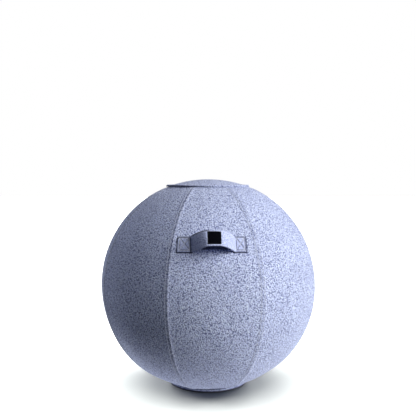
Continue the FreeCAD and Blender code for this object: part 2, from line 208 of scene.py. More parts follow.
def settled(azimuth, tilt):
    """Slow unevenness of the felt, from waves of (turns round, turns up, height, phase)."""
    a, t = np.radians(azimuth), np.radians(tilt)
    return sum(h * np.sin(around * a + up * t + phase) for around, up, h, phase in SETTLING)


def relief(azimuth, tilt):
    """Height over the ball in millimetres, and how much shade is painted on the point, 0 to 1."""
    azimuth, tilt = np.broadcast_arrays(np.asarray(azimuth, float), np.asarray(tilt, float))
    radius = parallel_radius(tilt)
    turn = (azimuth - SEAM_PHASE) / GORE_ANGLE - 0.5
    nearest = np.round(turn)
    share = np.abs(turn - nearest)
    away = share * math.radians(GORE_ANGLE) * radius
    clear = ramp((radius - BRIM_CLEAR) / 15)
    opened = zip_share(tilt) * (nearest % len(GORE_NAMES) == ZIP_SEAM)
    stretch = np.where(nearest % len(GORE_NAMES) == 0, FLAT_SEAM, 1)

    hollow = PANEL_HOLLOW * (radius / BALL_RADIUS) ** 2 * (1 - (1 - 2 * share) ** 2)
    ridge = clear * stretch * SEAM_RIDGE * np.exp(-away / RIDGE_SPREAD)
    panel = np.maximum(ridge - hollow + settled(azimuth, tilt) * ramp(away / EVEN_UP_TO),
                       -PANEL_HOLLOW)
    welt = WELT_RISE * (1 - ramp((away - WELT_FLAT) / WELT_SLOPE))
    welt = welt - SEAM_GROOVE * bell(away, 0, GROOVE_WIDTH)
    welt = welt - ROW_GROOVE * bell(away, ROW_OFFSET, GROOVE_WIDTH)
    lip_row = bell(away, ZIP_ROW, 0.9)
    lip = LIP_RISE * (1 - ramp((away - LIP_FLAT) / LIP_SLOPE)) - LIP_GROOVE * lip_row
    height = panel + clear * ((1 - opened) * welt + opened * lip)

    # Painted shade in the grooves: between the rows, darker higher up, beside them in dashes, and a
    # little along the zip's rows.
    dash = 0.5 + 0.5 * np.sin(2 * math.pi * tilt / SHADE_DASH_PITCH + nearest)
    shut = (0.6 + 0.4 * dash) * (0.25 + 0.55 * ramp((tilt - DARK_FROM) / DARK_OVER))
    between = shut * bell(away, 0, BETWEEN_WIDTH) * (stretch == 1)
    beside = 0.7 * (0.3 + 0.7 * dash) * bell(away, ROW_OFFSET, BESIDE_WIDTH) * (1.4 - stretch)
    painted_shade = clear * ((1 - opened) * np.maximum(between, beside) + 0.15 * opened * lip_row)
    # Painted shade rings the handle's sewn ends, and the bow's shadow is painted behind it.
    press = tab_press(azimuth, tilt)
    shaded = np.maximum(press, under_strap(azimuth, tilt))
    return height - TAB_PRESS * press, np.maximum(painted_shade, shaded)


# %% Marks of the handle in the cover
DRIFT, DRIFT_FROM, DRIFT_OVER = 4.6, 30.0, 59.0
SHADOW_X, SHADOW_HALF, SHADOW_FADE = 4.0, 44.0, 16.0  # painted shadow of the bow on the felt behind it
SHADOW_LOW, SHADOW_HIGH = -15.0, 26.0
PRESS_HALF = 1.3  # of the furrow that the sewn ends press into the cover


def strap_drift(x):
    """The sewn ends climb a little, because a strap laid round a ball follows its parallels."""
    return DRIFT * ramp((np.abs(x) - DRIFT_FROM) / DRIFT_OVER)


def tab_end(x, y):
    """Distance of a sewn end's outer edge from the middle. The edges lean like the seams."""
    share = np.clip(y / HANDLE_HALF / 2 + 0.5, 0, 1)
    left, right = [low + (high - low) * share for low, high in TAB_ENDS]
    return np.where(x < 0, left, right)


def under_strap(azimuth, tilt):
    """Painted shadow of the bow on the felt behind it, 0 to 1."""
    x, y, in_front = place_at_handle(azimuth, tilt)
    across = ramp((SHADOW_HALF - np.abs(x - SHADOW_X)) / SHADOW_FADE)
    return 0.95 * across * ramp((y - SHADOW_LOW) / 3.5) * ramp((SHADOW_HIGH - y) / 10) * in_front


def tab_press(azimuth, tilt):
    """How far the cloth is pulled in round the handle's two sewn ends, 0 to 1, which also paints
    shade there.
    """
    x, y, in_front = place_at_handle(azimuth, tilt)
    y = y - strap_drift(x)
    beside = np.maximum(np.abs(x) - tab_end(x, y), HANDLE_FOOT - np.abs(x))
    outside = np.hypot(np.maximum(beside, 0), np.maximum(np.abs(y) - TAB_HALF, 0))
    above = 0.5 * ramp((y - TAB_HALF + 1) / 2)
    furrow = 1 - ramp((np.abs(outside - PRESS_HALF) - PRESS_HALF) / PRESS_HALF)
    return furrow * (1 - above) * in_front


print("a seam's relief:", np.round(relief(seam_azimuth(0) + np.array([0, 0.3, 0.8, 2]), 0.0)[0], 2))

# %% [markdown]
# ## Writing node trees
# Materials and Geometry Nodes are both trees of nodes. Two small classes write them. `Tree` adds
# a node with its settings and its sockets in one call, and `Wire` is an output that can stand in
# a Python sum, so that `1 - mask * 0.4` adds the Math nodes by itself.


# %% Wire
class Wire:
    """One output of a node."""

    def __init__(self, tree, socket):
        self.tree, self.socket = tree, socket

    def math(self, operation, *others):
        return self.tree.node("ShaderNodeMath", {"operation": operation},
                              dict(enumerate((self, *others))))

    def __add__(self, other):
        return self.math("ADD", other)

    def __sub__(self, other):
        return self.math("SUBTRACT", other)

    def __rsub__(self, other):
        return self * -1 + other

    def __mul__(self, other):
        return self.math("MULTIPLY", other)

    def __truediv__(self, other):
        return self.math("DIVIDE", other)

    __radd__, __rmul__ = __add__, __mul__

    def clamp(self, low, high):
        """0 to 1 as the value goes from low to high."""
        return self.tree.node("ShaderNodeMapRange", {"clamp": True},
                              {0: self, 1: low, 2: high, 3: 0.0, 4: 1.0})


# %% Tree
class Tree:
    """A node tree, written one node at a time."""

    def __init__(self, tree):
        self.tree = tree
        tree.nodes.clear()

    def node(self, kind, settings=None, inputs=None, output=0):
        """Adds a node, sets it up and returns one of its outputs."""
        made = self.tree.nodes.new(kind)
        for key, value in (settings or {}).items():
            setattr(made, key, value)
        for key, value in (inputs or {}).items():
            if isinstance(value, Wire):
                self.tree.links.new(value.socket, made.inputs[key])
            else:
                made.inputs[key].default_value = value
        return Wire(self, made.outputs[output]) if len(made.outputs) else made

    def mix(self, factor, first, second, blend="MIX"):
        """Mixes two colours."""
        return self.node("ShaderNodeMix", {"data_type": "RGBA", "blend_type": blend},
                         {0: factor, 6: first, 7: second}, output=2)

    def vector(self, operation, first, second):
        """Vector maths. The factor that scales a vector has a socket of its own."""
        return self.node("ShaderNodeVectorMath", {"operation": operation},
                         {0: first, "Scale" if operation == "SCALE" else 1: second})


# %% [markdown]
# ## Materials
# Every finish starts from the object's own coordinates in metres, so a noise of scale 300 has
# features about 3 mm across. Only what changes over the surface is wired into the shader, and
# what is the same everywhere is typed into its sockets.

# %% Helpers for materials
FINISHES = {}  # each material by its name


def srgb(values):
    """A colour from its usual 0 to 255 numbers."""
    linear = [((v / 255 + 0.055) / 1.055) ** 2.4 if v > 10 else v / 255 / 12.92 for v in values]
    return (*linear, 1.0)


def object_place(tree):
    return tree.node("ShaderNodeTexCoord", output="Object")


def noise(tree, place, scale, detail=2.0, roughness=0.5):
    return tree.node("ShaderNodeTexNoise", inputs={
        "Vector": place, "Scale": scale, "Detail": detail, "Roughness": roughness})


def finish_shader(tree, colour, roughness, height, depth, strength, **constants):
    """Principled surface with a bump of a depth in metres."""
    bump = tree.node("ShaderNodeBump", inputs={
        "Strength": strength, "Distance": depth, "Height": height})
    constants = {key.replace("_", " "): value for key, value in constants.items()}
    shader = tree.node("ShaderNodeBsdfPrincipled", inputs={
        "Base Color": colour, "Roughness": roughness, "Normal": bump, **constants})
    tree.node("ShaderNodeOutputMaterial", inputs={"Surface": shader})


def new_material(name):
    """Node tree of a new material."""
    FINISHES[name] = bpy.data.materials.new(name)
    FINISHES[name].use_nodes = True
    return Tree(FINISHES[name].node_tree)


# %% [markdown]
# ### Felt
# The cover is felted from fibres of several blues and greys, which shows as flecks 2 to 4 mm
# across: many soft dark ones and fewer light ones. One noise gives the flecks, a finer one the
# single fibres, and a very coarse one the slow drift of tone in the cloth. A tiled picture
# would show its repeat on a ball this large, and noise doesn't. The painted shade that the mesh
# carries turns the felt a dark navy, in grooves, folds and gaps and behind the strap.

# %% Felt of the cover and of the strap
FLECK_SCALE, FIBRE_SCALE, DRIFT_SCALE = 355.0, 950.0, 9.0
FIBRE_SHARE = 0.14  # of the tone, the rest is the flecks
DARK_BELOW, LIGHT_ABOVE = 0.49, 0.51  # tones where a fleck begins


def felt(name, *colours):
    """Felt of a body colour with dark and light flecks and a dark navy for painted shade."""
    tree = new_material(name)
    body, dark, light, shade_navy = map(srgb, colours)
    place = object_place(tree)
    fleck = noise(tree, place, FLECK_SCALE, 1.0, 0.4)
    fibre = noise(tree, place, FIBRE_SCALE, 2.0, 0.6)
    tone = fleck * (1 - FIBRE_SHARE) + fibre * FIBRE_SHARE
    colour = tree.mix((DARK_BELOW - tone).clamp(0.0, 0.09), body, dark)
    colour = tree.mix((tone - LIGHT_ABOVE).clamp(0.0, 0.12), colour, light)
    colour = tree.mix(noise(tree, place, DRIFT_SCALE).clamp(0.35, 0.7) * 0.12, colour, dark)
    # The painted shade that the mesh carries turns the felt dark navy.
    painted_shade = tree.node("ShaderNodeAttribute", {"attribute_name": "painted_shade"}, output="Fac")
    colour = tree.mix(painted_shade * 0.9, colour, shade_navy)
    finish_shader(tree, colour, tone * 0.2 + 0.8, tone, 0.0024, 0.9,
                  Sheen_Weight=0.12, Sheen_Roughness=0.5, Specular_IOR_Level=0.15)


# The last colour of each felt is the dark navy of the painted shade.
felt("cover_felt", (203, 212, 246), (99, 106, 146), (230, 238, 255), (26, 28, 58))
felt("strap_felt", (204, 213, 248), (163, 171, 208), (221, 229, 255), (26, 28, 58))
print("made", *FINISHES)

# %% [markdown]
# ### The smaller finishes
# The other finishes are all a body colour that drifts towards a second one, with a grain of
# their own scale: twisted thread, nylon, cast metal, rubber, stiff plastic and the ball's soft
# vinyl. Each could have a tree of its own, but they differ only in numbers, so one function
# holds what they share.


# %% A plain finish with grain
def grained(name, body, second, scale, roughness, depth, **constants):
    """Two colours drifting into each other with a noise grain."""
    tree = new_material(name)
    place = object_place(tree)
    grain = noise(tree, place, scale, 3.0, 0.55)
    drift = noise(tree, place, scale / 12)
    colour = tree.mix((grain * 0.5 + drift * 0.5).clamp(0.35, 0.65), srgb(body), srgb(second))
    finish_shader(tree, colour, grain * 0.1 + (roughness - 0.05), grain, depth, 0.5, **constants)


grained("thread", (240, 244, 255), (212, 219, 248), 2200, 0.6, 0.0002, Sheen_Weight=0.1)
grained("label_thread", (22, 22, 32), (14, 14, 22), 2200, 0.6, 0.0002)
grained("ball_skin", (118, 121, 130), (104, 107, 116), 700, 0.42, 0.0001, Specular_IOR_Level=0.5)
grained("valve_plastic", (236, 236, 233), (226, 226, 222), 900, 0.3, 0.00005)
grained("stiffener", (224, 224, 224), (208, 208, 208), 1300, 0.8, 0.0003)
grained("weight_rubber", (52, 52, 53), (38, 38, 39), 800, 0.75, 0.0002)
grained("grip_rubber", (44, 44, 46), (33, 33, 35), 1100, 0.7, 0.0002)
grained("zip_nylon", (104, 109, 128), (90, 95, 114), 2600, 0.38, 0.00005, Specular_IOR_Level=0.5)
grained("zip_metal", (88, 92, 104), (70, 73, 84), 500, 0.34, 0.00004, Metallic=0.75)
print("with grain:", *list(FINISHES)[2:])

# %% [markdown]
# The label is satin-woven, the strap's core is ribbed webbing and the zip's tapes are twill.
# Their threads have to follow the piece round its bends, so they are read from coordinates that
# the mesh carries along and across the cloth.


# %% Woven finishes
def woven(name, body, second, pitch, roughness, depth, twill=0.0, **constants):
    """Threads a pitch apart in metres, along and across the piece. Twill shifts each row."""
    tree = new_material(name)
    place = tree.node("ShaderNodeAttribute", {"attribute_name": "cloth"}, output="Vector")
    along = tree.node("ShaderNodeSeparateXYZ", inputs={0: place})
    across = Wire(tree, along.socket.node.outputs[1])
    turn = 2 * math.pi / pitch
    warp = ((across + along * twill) * turn).math("SINE")
    weft = (along * turn).math("SINE")
    weave = warp * weft * 0.35 + warp * 0.3 + 0.5
    fuzz = noise(tree, object_place(tree), 1800.0)
    colour = tree.mix((weave * 0.7 + fuzz * 0.3).clamp(0.2, 0.8), srgb(second), srgb(body))
    finish_shader(tree, colour, fuzz * 0.1 + (roughness - 0.05), weave, depth, 0.7, **constants)


woven("label_weave", (7, 7, 14), (3, 3, 7), 0.0007, 0.9, 0.0001, 0.5, Specular_IOR_Level=0.03)
woven("webbing", (58, 59, 63), (40, 41, 45), 0.0016, 0.6, 0.0003)
woven("zip_twill", (112, 117, 140), (88, 93, 114), 0.0011, 0.8, 0.0002, 1.0, Sheen_Weight=0.1)
print("materials:", len(bpy.data.materials))

# %% [markdown]
# ## Making meshes
# A sheet of cloth is a grid of points, and a rounded ring or strap is a grid that closes on
# itself. Both come from numbers, so they are written straight into a mesh, which is quicker and
# more exact than pushing a primitive about.


# %% Grids, rings and pieces
def grid_faces(rows, columns, wrap_rows=False, wrap_columns=False):
    """Quads between the points of a grid, in the order down then to the right."""
    index = np.arange(rows * columns).reshape(rows, columns)
    if wrap_rows:
        index = np.vstack([index, index[:1]])
    if wrap_columns:
        index = np.hstack([index, index[:, :1]])
    corners = (index[:-1, :-1], index[1:, :-1], index[1:, 1:], index[:-1, 1:])
    return np.stack(corners, -1).reshape(-1, 4).tolist()


def new_object(name, data):
    """Puts an object in the scene, at the origin."""
    made = bpy.data.objects.new(name, data)
    bpy.context.scene.collection.objects.link(made)
    return made


def dress(mesh, material):
    """Gives a mesh one finish and no other."""
    mesh.materials.clear()
    mesh.materials.append(FINISHES[material])


def make_piece(name, points, faces, material, edges=()):
    """A new object from points in millimetres."""
    mesh = bpy.data.meshes.new(name)
    mesh.from_pydata((np.reshape(points, (-1, 3)) * MM).tolist(), edges, faces)
    mesh.shade_smooth()
    dress(mesh, material)
    return new_object(name, mesh)


# %% What a mesh carries, its thickness and its place in the frame
def store(piece, name, values, kind="FLOAT"):
    """Keeps a value or a vector with each point of a piece."""
    attribute = piece.data.attributes.new(name, kind, "POINT")
    key = "value" if kind == "FLOAT" else "vector"
    attribute.data.foreach_set(key, np.asarray(values, np.float32).ravel())


def store_cloth(piece, along, across):
    """Keeps where each point lies on the flat cloth, in metres, which the weaves read."""
    along, across = np.broadcast_arrays(along, across)
    store(piece, "cloth", np.stack([along, across, 0 * across], -1) * MM, "FLOAT_VECTOR")


def thicken(piece, thickness, group=None):
    """Gives a sheet its thickness, inwards from the face that shows."""
    wall = piece.modifiers.new("cloth", "SOLIDIFY")
    wall.thickness = thickness * MM
    wall.offset = -1
    if group:
        wall.vertex_group = group


def hand_over(piece, slot, *nodes, body="covered_ball"):
    """The piece rides on a body and stands for its CAD nodes."""
    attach(piece, body)
    if nodes:
        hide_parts(*nodes)


# %% [markdown]
# ## Stitches
# A row of stitches is one small thread shape repeated along a line, which is what Geometry Nodes
# do best. The row is drawn as a line of points that carry the direction `out` of the cloth. The
# tree turns it into a curve, cuts it into equal stitches and lays a grain of thread along each,
# with a slight turn of its own, because no machine sews quite straight.

# %% Helpers for Geometry Nodes
def new_group(name, **sizes):
    """A Geometry Nodes tree with named inputs, and those inputs as wires."""
    tree = Tree(bpy.data.node_groups.new(name, "GeometryNodeTree"))
    face = tree.tree.interface
    face.new_socket("Geometry", in_out="INPUT", socket_type="NodeSocketGeometry")
    for key, value in sizes.items():
        kind = "NodeSocketInt" if isinstance(value, int) else "NodeSocketFloat"
        face.new_socket(key, in_out="INPUT", socket_type=kind).default_value = value
    face.new_socket("Geometry", in_out="OUTPUT", socket_type="NodeSocketGeometry")
    entry = tree.tree.nodes.new("NodeGroupInput")
    return tree, {socket.name: Wire(tree, socket) for socket in entry.outputs if socket.name}


def drawn_line(tree, given, step):
    """The drawn line cut into equal steps, its direction out of the cloth and its tangent."""
    line = tree.node("GeometryNodeMeshToCurve", inputs={0: given["Geometry"]})
    line = tree.node("GeometryNodeResampleCurve", {"mode": "LENGTH"},
                     {"Curve": line, "Length": step})
    out = tree.node("GeometryNodeInputNamedAttribute", {"data_type": "FLOAT_VECTOR"},
                    {"Name": "out"})
    return line, out, tree.node("GeometryNodeInputTangent")


def end_tree(tree, geometry, material):
    """Realizes what was repeated, smooths it and gives it its material."""
    solid = tree.node("GeometryNodeRealizeInstances", inputs={0: geometry})
    solid = tree.node("GeometryNodeSetShadeSmooth", inputs={0: solid})
    solid = tree.node("GeometryNodeSetShadeSmooth", inputs={0: solid})
    solid = tree.node("GeometryNodeSetMaterial", inputs={0: solid, "Material": FINISHES[material]})
    tree.node("NodeGroupOutput", inputs={0: solid})


def grow(piece, group, **sizes):
    """Runs a Geometry Nodes tree on a piece and keeps the result as a plain mesh."""
    modifier = piece.modifiers.new("grow", "NODES")
    modifier.node_group = group
    for socket in group.interface.items_tree:
        if socket.in_out == "INPUT" and socket.name in sizes:
            modifier[socket.identifier] = sizes[socket.name]
    evaluated = piece.evaluated_get(bpy.context.evaluated_depsgraph_get())
    mesh = bpy.data.meshes.new_from_object(evaluated)
    piece.modifiers.clear()
    mesh.name = piece.name
    piece.data = mesh
    print(f"{piece.name}: {len(mesh.polygons)} faces")
    return piece


# %% A tree that sews along a line
sewing, given = new_group("sewing", Pitch=0.004, Length=0.0034, Width=0.0007, Height=0.0006,
                          Wander=0.05, Seed=1)
row, out, tangent = drawn_line(sewing, given, given["Pitch"])
facing = sewing.node("FunctionNodeAxesToRotation", {"primary_axis": "Z", "secondary_axis": "X"},
                     {0: out, 1: tangent})
wander = sewing.node("FunctionNodeRandomValue", {"data_type": "FLOAT"},
                     {2: given["Wander"] * -1, 3: given["Wander"], "Seed": given["Seed"]}, output=1)
askew = sewing.node("FunctionNodeAxisAngleToRotation", inputs={"Axis": (0, 0, 1), "Angle": wander})
facing = sewing.node("FunctionNodeRotateRotation", {"rotation_space": "LOCAL"},
                     {0: facing, 1: askew})
size = sewing.node("ShaderNodeCombineXYZ", inputs={
    0: given["Length"] * 0.5, 1: given["Width"] * 0.5, 2: given["Height"] * 0.5})
grain = sewing.node("GeometryNodeMeshUVSphere", inputs={"Segments": 6, "Rings": 5, "Radius": 1.0})
rows = sewing.node("GeometryNodeInstanceOnPoints", inputs={
    "Points": row, "Instance": grain, "Rotation": facing, "Scale": size})
end_tree(sewing, rows, "thread")
print("sewing:", len(sewing.tree.nodes), "nodes, inputs", *list(given)[1:])


# %% Drawing the lines that are sewn
def lines_piece(name, lines, material):
    """One object of open or closed lines. Each line is (points, directions out, closed)."""
    points, directions, edges, start = [], [], [], 0
    for line, out_of_cloth, closed in lines:
        points.append(line)
        directions.append(out_of_cloth)
        last = start + len(line) - 1
        edges += [(i, i + 1) for i in range(start, last)] + [(last, start)] * closed
        start = last + 1
    piece = make_piece(name, np.concatenate(points), [], material, edges)
    store(piece, "out", np.concatenate(directions), "FLOAT_VECTOR")
    return piece


def sewn(name, lines, stitch, seed):
    """Rows of stitches. A stitch is its pitch, length, width and height in metres."""
    sizes = dict(zip(("Pitch", "Length", "Width", "Height"), stitch))
    return grow(lines_piece(name, lines, "thread"), sewing.tree, **sizes, Seed=seed)


STITCH_SINK = 0.1  # stitches lie this far in their groove
STITCH_RISE = 0.15  # and those of the seams stand out a little


def cover_line(azimuths, tilts):
    """Line on the cover's relief."""
    azimuths, tilts = np.broadcast_arrays(azimuths, tilts)
    height = relief(azimuths, tilts)[0] + GAP + STITCH_RISE
    return on_cover(azimuths, tilts, height), outwards(azimuths, tilts), False


# %% [markdown]
# ## The eight gores
# A gore is a long pointed panel of felt that is stretched over the ball. Flat panels could be cut
# and pulled over it by a cloth simulation, but a grid on the known shape is exact and quick. Its
# columns are close together beside the seams, where the welt and its grooves need them, and wide
# apart in the middle. The front gore is finer all over, because it also carries the marks that
# the handle presses into it. Solidify gives each its 3 mm of felt, thinned to 1 mm where the
# zip's tapes lie behind it.

# %% Columns and rows of a gore
SEAM_COLUMNS = np.array([0, 0.35, 0.7, 1.1, 1.7, 2.5, 3.3, 3.9, 4.3, 4.7, 5.1, 5.6,
                         6.4, 7.6, 9.3, 12, 16])
REBATE = 17.0  # the felt is thinned this far from the zip
FRONT_SPACING, SPACING = 2.2, 8.0
print("columns beside a seam:", len(SEAM_COLUMNS))


def spaced(stops, steps):
    """Values from the first stop to the last, with a step of its own between each pair."""
    runs = [np.linspace(a, b, max(2, round(abs(b - a) / step) + 1))[:-1]
            for a, b, step in zip(stops, stops[1:], steps)]
    return np.concatenate([*runs, stops[-1:]])


def gore_tilts(number):
    top, bottom = cap_tilt(TOP_SEAM), -cap_tilt(BASE_SEAM)
    if number == 0:
        return spaced([top, 34, 22, bottom], [0.8, 0.3, 0.8])
    if number in (ZIP_SEAM, ZIP_SEAM + 1):
        return spaced([top, 58, 54, -50, -54, bottom], [0.8, 0.16, 0.8, 0.16, 0.8])
    return spaced([top, bottom], [0.8])


def gore_grid(number):
    """Azimuth and tilt of each point, and its distance from the zip in millimetres."""
    tilts = gore_tilts(number)[:, None]
    radius = parallel_radius(tilts)
    width = radius * math.radians(GORE_ANGLE)
    opening = ZIP_HALF * zip_share(tilts)
    edges = [opening * (number == seam) for seam in (ZIP_SEAM + 1, ZIP_SEAM)]
    left, right = [edge + SEAM_COLUMNS * (1 - edge / SEAM_COLUMNS[-1]) for edge in edges]
    spacing = FRONT_SPACING if number == 0 else SPACING
    count = int(np.max(width - 2 * SEAM_COLUMNS[-1]) / spacing)
    shares = np.linspace(0, 1, count + 2)[1:-1]
    middle = SEAM_COLUMNS[-1] + shares * (width - 2 * SEAM_COLUMNS[-1])
    arc = np.hstack([left, middle, width - right[:, ::-1]])
    azimuth = seam_azimuth(number - 1) + np.degrees(arc / radius)
    from_zip = {ZIP_SEAM: width - arc, ZIP_SEAM + 1: arc}.get(number, np.full_like(arc, np.inf))
    return azimuth, np.broadcast_to(tilts, arc.shape), from_zip


# %% Sew the gores
def make_gore(number):
    azimuth, tilt, from_zip = gore_grid(number)
    height, painted_shade = relief(azimuth, tilt)
    name = f"cover_{GORE_NAMES[number]}"
    piece = make_piece(name, on_cover(azimuth, tilt, height), grid_faces(*azimuth.shape),
                       "cover_felt")
    store(piece, "painted_shade", painted_shade)
    thin = zip_share(tilt) * (1 - ramp((from_zip - REBATE) / 2))
    group = piece.vertex_groups.new(name="cloth")
    for index, share in enumerate((1 - thin * 2 / 3).ravel()):
        group.add([index], float(share), "REPLACE")
    thicken(piece, CLOTH, "cloth")
    hand_over(piece, "cover_fabric", f"gore_{GORE_NAMES[number]}")
    length = math.radians(np.ptp(gore_tilts(number))) * SIDE_RADIUS * 1.02


for number in range(len(GORE_NAMES)):
    make_gore(number)

# %% [markdown]
# Two rows of topstitching run along every seam from the top brim to the base and hold the folded
# edges down. A bumpy line in the finish would do from afar, but sewn rows catch light by
# themselves. At the zip's seam they stop at its ends, and the zip has its own rows.

# %% Topstitching of the seams
ROW_TOP = cap_tilt(TOP_EDGE + 2)
ROW_BOTTOM = -cap_tilt(BASE_SEAM + 5)
SEAM_STITCH, BRIM_STITCH = (0.0042, 0.0036, 0.0018, 0.0012), (0.0042, 0.0036, 0.001, 0.0008)


def rows_beside(azimuth, away, tilts):
    """The two rows that run along a line of the cover, one on each side of it."""
    shift = np.degrees(away / parallel_radius(tilts))
    return [cover_line(azimuth + side * shift, tilts) for side in (-1, 1)]


for number in range(len(GORE_NAMES)):
    stops = [ROW_TOP, ROW_BOTTOM]
    if number == ZIP_SEAM:
        stops = [ROW_TOP, ZIP_TOP + 2.5, ZIP_BOTTOM - 2.5, ROW_BOTTOM]
    lines = []
    for run in zip(stops[::2], stops[1::2]):
        lines += rows_beside(seam_azimuth(number), ROW_OFFSET, spaced(run, [0.5]))
    rows = sewn(f"topstitching_{number + 1}", lines, SEAM_STITCH, number + 1)
    hand_over(rows, "thread", f"seam_stitching_{number + 1}")

# %% [markdown]
# ## Top panel and top brim
# The round panel closes the top. Between it and the gores a flat ring stands out, a sleeve of
# felt over a stiffener, and it gives the seat its rim. A sleeve like that is never quite flat:
# it waves a little, and on the left it bulges out and lifts off the gores. A disc and a swept
# section, both written as points, can follow the cover's shape and wave at the same time.

# %% Round sheets and rings
RING_STEPS, EDGE_STEPS = 240, 8
RING_AZIMUTHS = np.arange(RING_STEPS) * 360 / RING_STEPS


def round_sheet(name, radii, level, material, thickness):
    """Disc of rings round a middle point, facing up. level gives a height for each radius."""
    rings = [turned(r, level(r), RING_AZIMUTHS) for r in radii]
    points = np.concatenate([[[0, 0, float(level(0.0))]], *rings])
    quads = grid_faces(len(radii), RING_STEPS, wrap_columns=True)
    faces = (np.roll(quads, 1, axis=1) + 1).tolist()
    faces += [[0, i + 1, (i + 1) % RING_STEPS + 1] for i in range(RING_STEPS)]
    piece = make_piece(name, points, faces, material)
    thicken(piece, thickness)
    return piece


def closed_ring(name, radius, level, material, shift=None):
    """Ring with a closed section, given as radii and levels. shift moves it out and up."""
    out_by, raise_by = shift(RING_AZIMUTHS[:, None], radius) if shift else (0, 0)
    points = turned(radius + out_by, level + raise_by, RING_AZIMUTHS[:, None])
    return make_piece(name, points, grid_faces(RING_STEPS, len(radius), True, True), material)


def sleeve(inner, outer, corner, under, over, foot, short, counts):
    """Closed section of a brim: out along its underside, round its edge and back on top."""
    low = np.linspace(inner, outer - short, counts[0])
    high = np.linspace(outer - corner, inner, counts[1])
    turn = np.radians(np.linspace(0, 90, EDGE_STEPS)[:-1])
    edge = foot + (over(outer - corner) - foot) * np.sin(turn)
    return (np.concatenate([low, outer - corner + corner * np.cos(turn), high]),
            np.concatenate([under(low), edge, over(high)]))


def ring_row(radius, level):
    """A closed row of stitches round a brim."""
    level = level + GAP - STITCH_SINK
    return turned(radius, level, RING_AZIMUTHS), np.tile([0.0, 0.0, 1.0], (RING_STEPS, 1)), True


# %% Top panel
def panel_level(radius):
    """The felt dips into the seam at the brim and swells a little before it."""
    dip, swell = 1.3 * bell(radius, TOP_SEAM - GAP, 1.6), 0.5 * bell(radius, TOP_SEAM - 5, 2.5)
    return cap_level(radius) - dip + swell


panel_radii = spaced([0.5, 98, TOP_SEAM - GAP], [6, 0.7])
top_panel = round_sheet("cover_top", panel_radii, panel_level, "cover_felt", CLOTH)
# Painted shade where the panel dips into the seam under the brim.
painted_shade = bell(np.repeat([0, *panel_radii], [1] + [RING_STEPS] * len(panel_radii)), TOP_SEAM, 1.5)
store(top_panel, "painted_shade", 0.5 * painted_shade)
hand_over(top_panel, "cover_fabric", "top_panel")
print("top panel:", len(top_panel.data.polygons), "faces")

# %% The brim's section and how it waves
BRIM_TOP = cap_level(TOP_SEAM) + 1.0
print(f"top of the brim {BRIM_TOP:.1f} mm over the floor")
BRIM_LIFT = 0.5
BRIM_ROWS, BRIM_ROW_DEPTH = (TOP_SEAM + 3, TOP_EDGE - 3), 0.4
WAVES = ((3, 0.30, 0.7), (5, 0.22, 2.1), (8, 0.16, 4.0))  # count, height, phase
BULGE, BULGE_AT, BULGE_SPREAD = 2.0, -85, 35  # outwards, in millimetres and degrees
RISE, RISE_AT, RISE_SPREAD = 1.9, -52, 17  # off the gores


def from_front(azimuth):
    return (azimuth + 180) % 360 - 180


def brim_wave(azimuth, radius):
    """How far the brim goes out and up at an azimuth, most at its outer edge."""
    a = np.radians(azimuth)
    wave = sum(height * np.sin(count * a + phase) for count, height, phase in WAVES)
    share = np.clip((radius - TOP_SEAM) / (TOP_EDGE - TOP_SEAM), 0, 1)
    bulge = BULGE * bell(from_front(azimuth), BULGE_AT, BULGE_SPREAD)
    lift = RISE * bell(from_front(azimuth), RISE_AT, RISE_SPREAD)
    return bulge * share, (wave + 0.3 + lift) * share


def brim_section(inset, corner):
    """Section of the top brim, drawn in by an inset. Its edge folds down on to the gores."""
    outer, lift = TOP_EDGE - inset, BRIM_LIFT + inset
    return sleeve(TOP_SEAM + inset, outer, corner, lambda r: cap_level(r, lift),
                  lambda r: BRIM_TOP - inset + 0 * r, cap_level(outer, lift) + 0.9, 0.5, (10, 9))


# %% Sew the brim
BRIM_FOLD = np.array([0] * 9 + [0.8, 1, 1, 0.7, 0.2] + [0] * 12)  # painted shade round the section's folded edge
BRIM_FACE = np.array([0] * 10 + [1] * 9 + [0] * 7)
radius, level = brim_section(0.0, 4.0)
on_top = level > BRIM_TOP - 2
level = level - BRIM_ROW_DEPTH * on_top * sum(bell(radius, row, 0.9) for row in BRIM_ROWS)
brim = closed_ring("cover_top_brim", radius, level, "cover_felt", brim_wave)
# Painted shade: round the brim's edge on the left, away from the light, and a little on its top
# face on the lit right side.
front = from_front(RING_AZIMUTHS[:, None])
shaded = ramp((25 - front) / 60) * ramp((front + 100) / 25)
right_face_shade = 0.15 * ramp(front / 20) * ramp((120 - front) / 20)
store(brim, "painted_shade", np.maximum(shaded * BRIM_FOLD, right_face_shade * BRIM_FACE))
hand_over(brim, "cover_fabric", "top_brim")
brim_core = closed_ring("top_brim_stiffener", *brim_section(1.3, 2.0), "stiffener", brim_wave)
hand_over(brim_core, "stiffener_plastic", "top_brim_core")

brim_lines = []
for radius in BRIM_ROWS:
    out_by, raise_by = brim_wave(RING_AZIMUTHS, radius)
    brim_lines.append(ring_row(radius + out_by, BRIM_TOP - BRIM_ROW_DEPTH + raise_by))
brim_stitches = sewn("topstitching_top_brim", brim_lines, BRIM_STITCH, 21)
hand_over(brim_stitches, "thread", "top_brim_stitching")

# %% [markdown]
# ## Base
# The ball stands on a weighted ring in a sleeve like the one on top. Its edge bulges up to the
# gores and rolls off the floor. A plain panel closes the middle, and under both lies a thin pad
# whose rubber dots grip the floor. An Array would set the dots in a square. They are one blunt
# cone, repeated by Geometry Nodes on a honeycomb of points that ends at the pad's round edge.

# %% Base brim and base panel
EDGE_LIFT, EDGE_ROLL = 2.2, 7.0  # the base brim's edge over the pad, and how far in it lifts
BASE_SINK, EDGE_SINK = 0.45, 0.9  # under the gores at its seam, and how much more at its edge


def base_level(radius):
    """Height over the floor of the bottom cap."""
    return 2 * CENTRE - cap_level(radius)


def base_top(radius):
    """Upper side of the base brim, a little under the gores."""
    share = (radius - BASE_SEAM) / (BASE_EDGE - BASE_SEAM)
    return base_level(radius) - BASE_SINK - EDGE_SINK * share


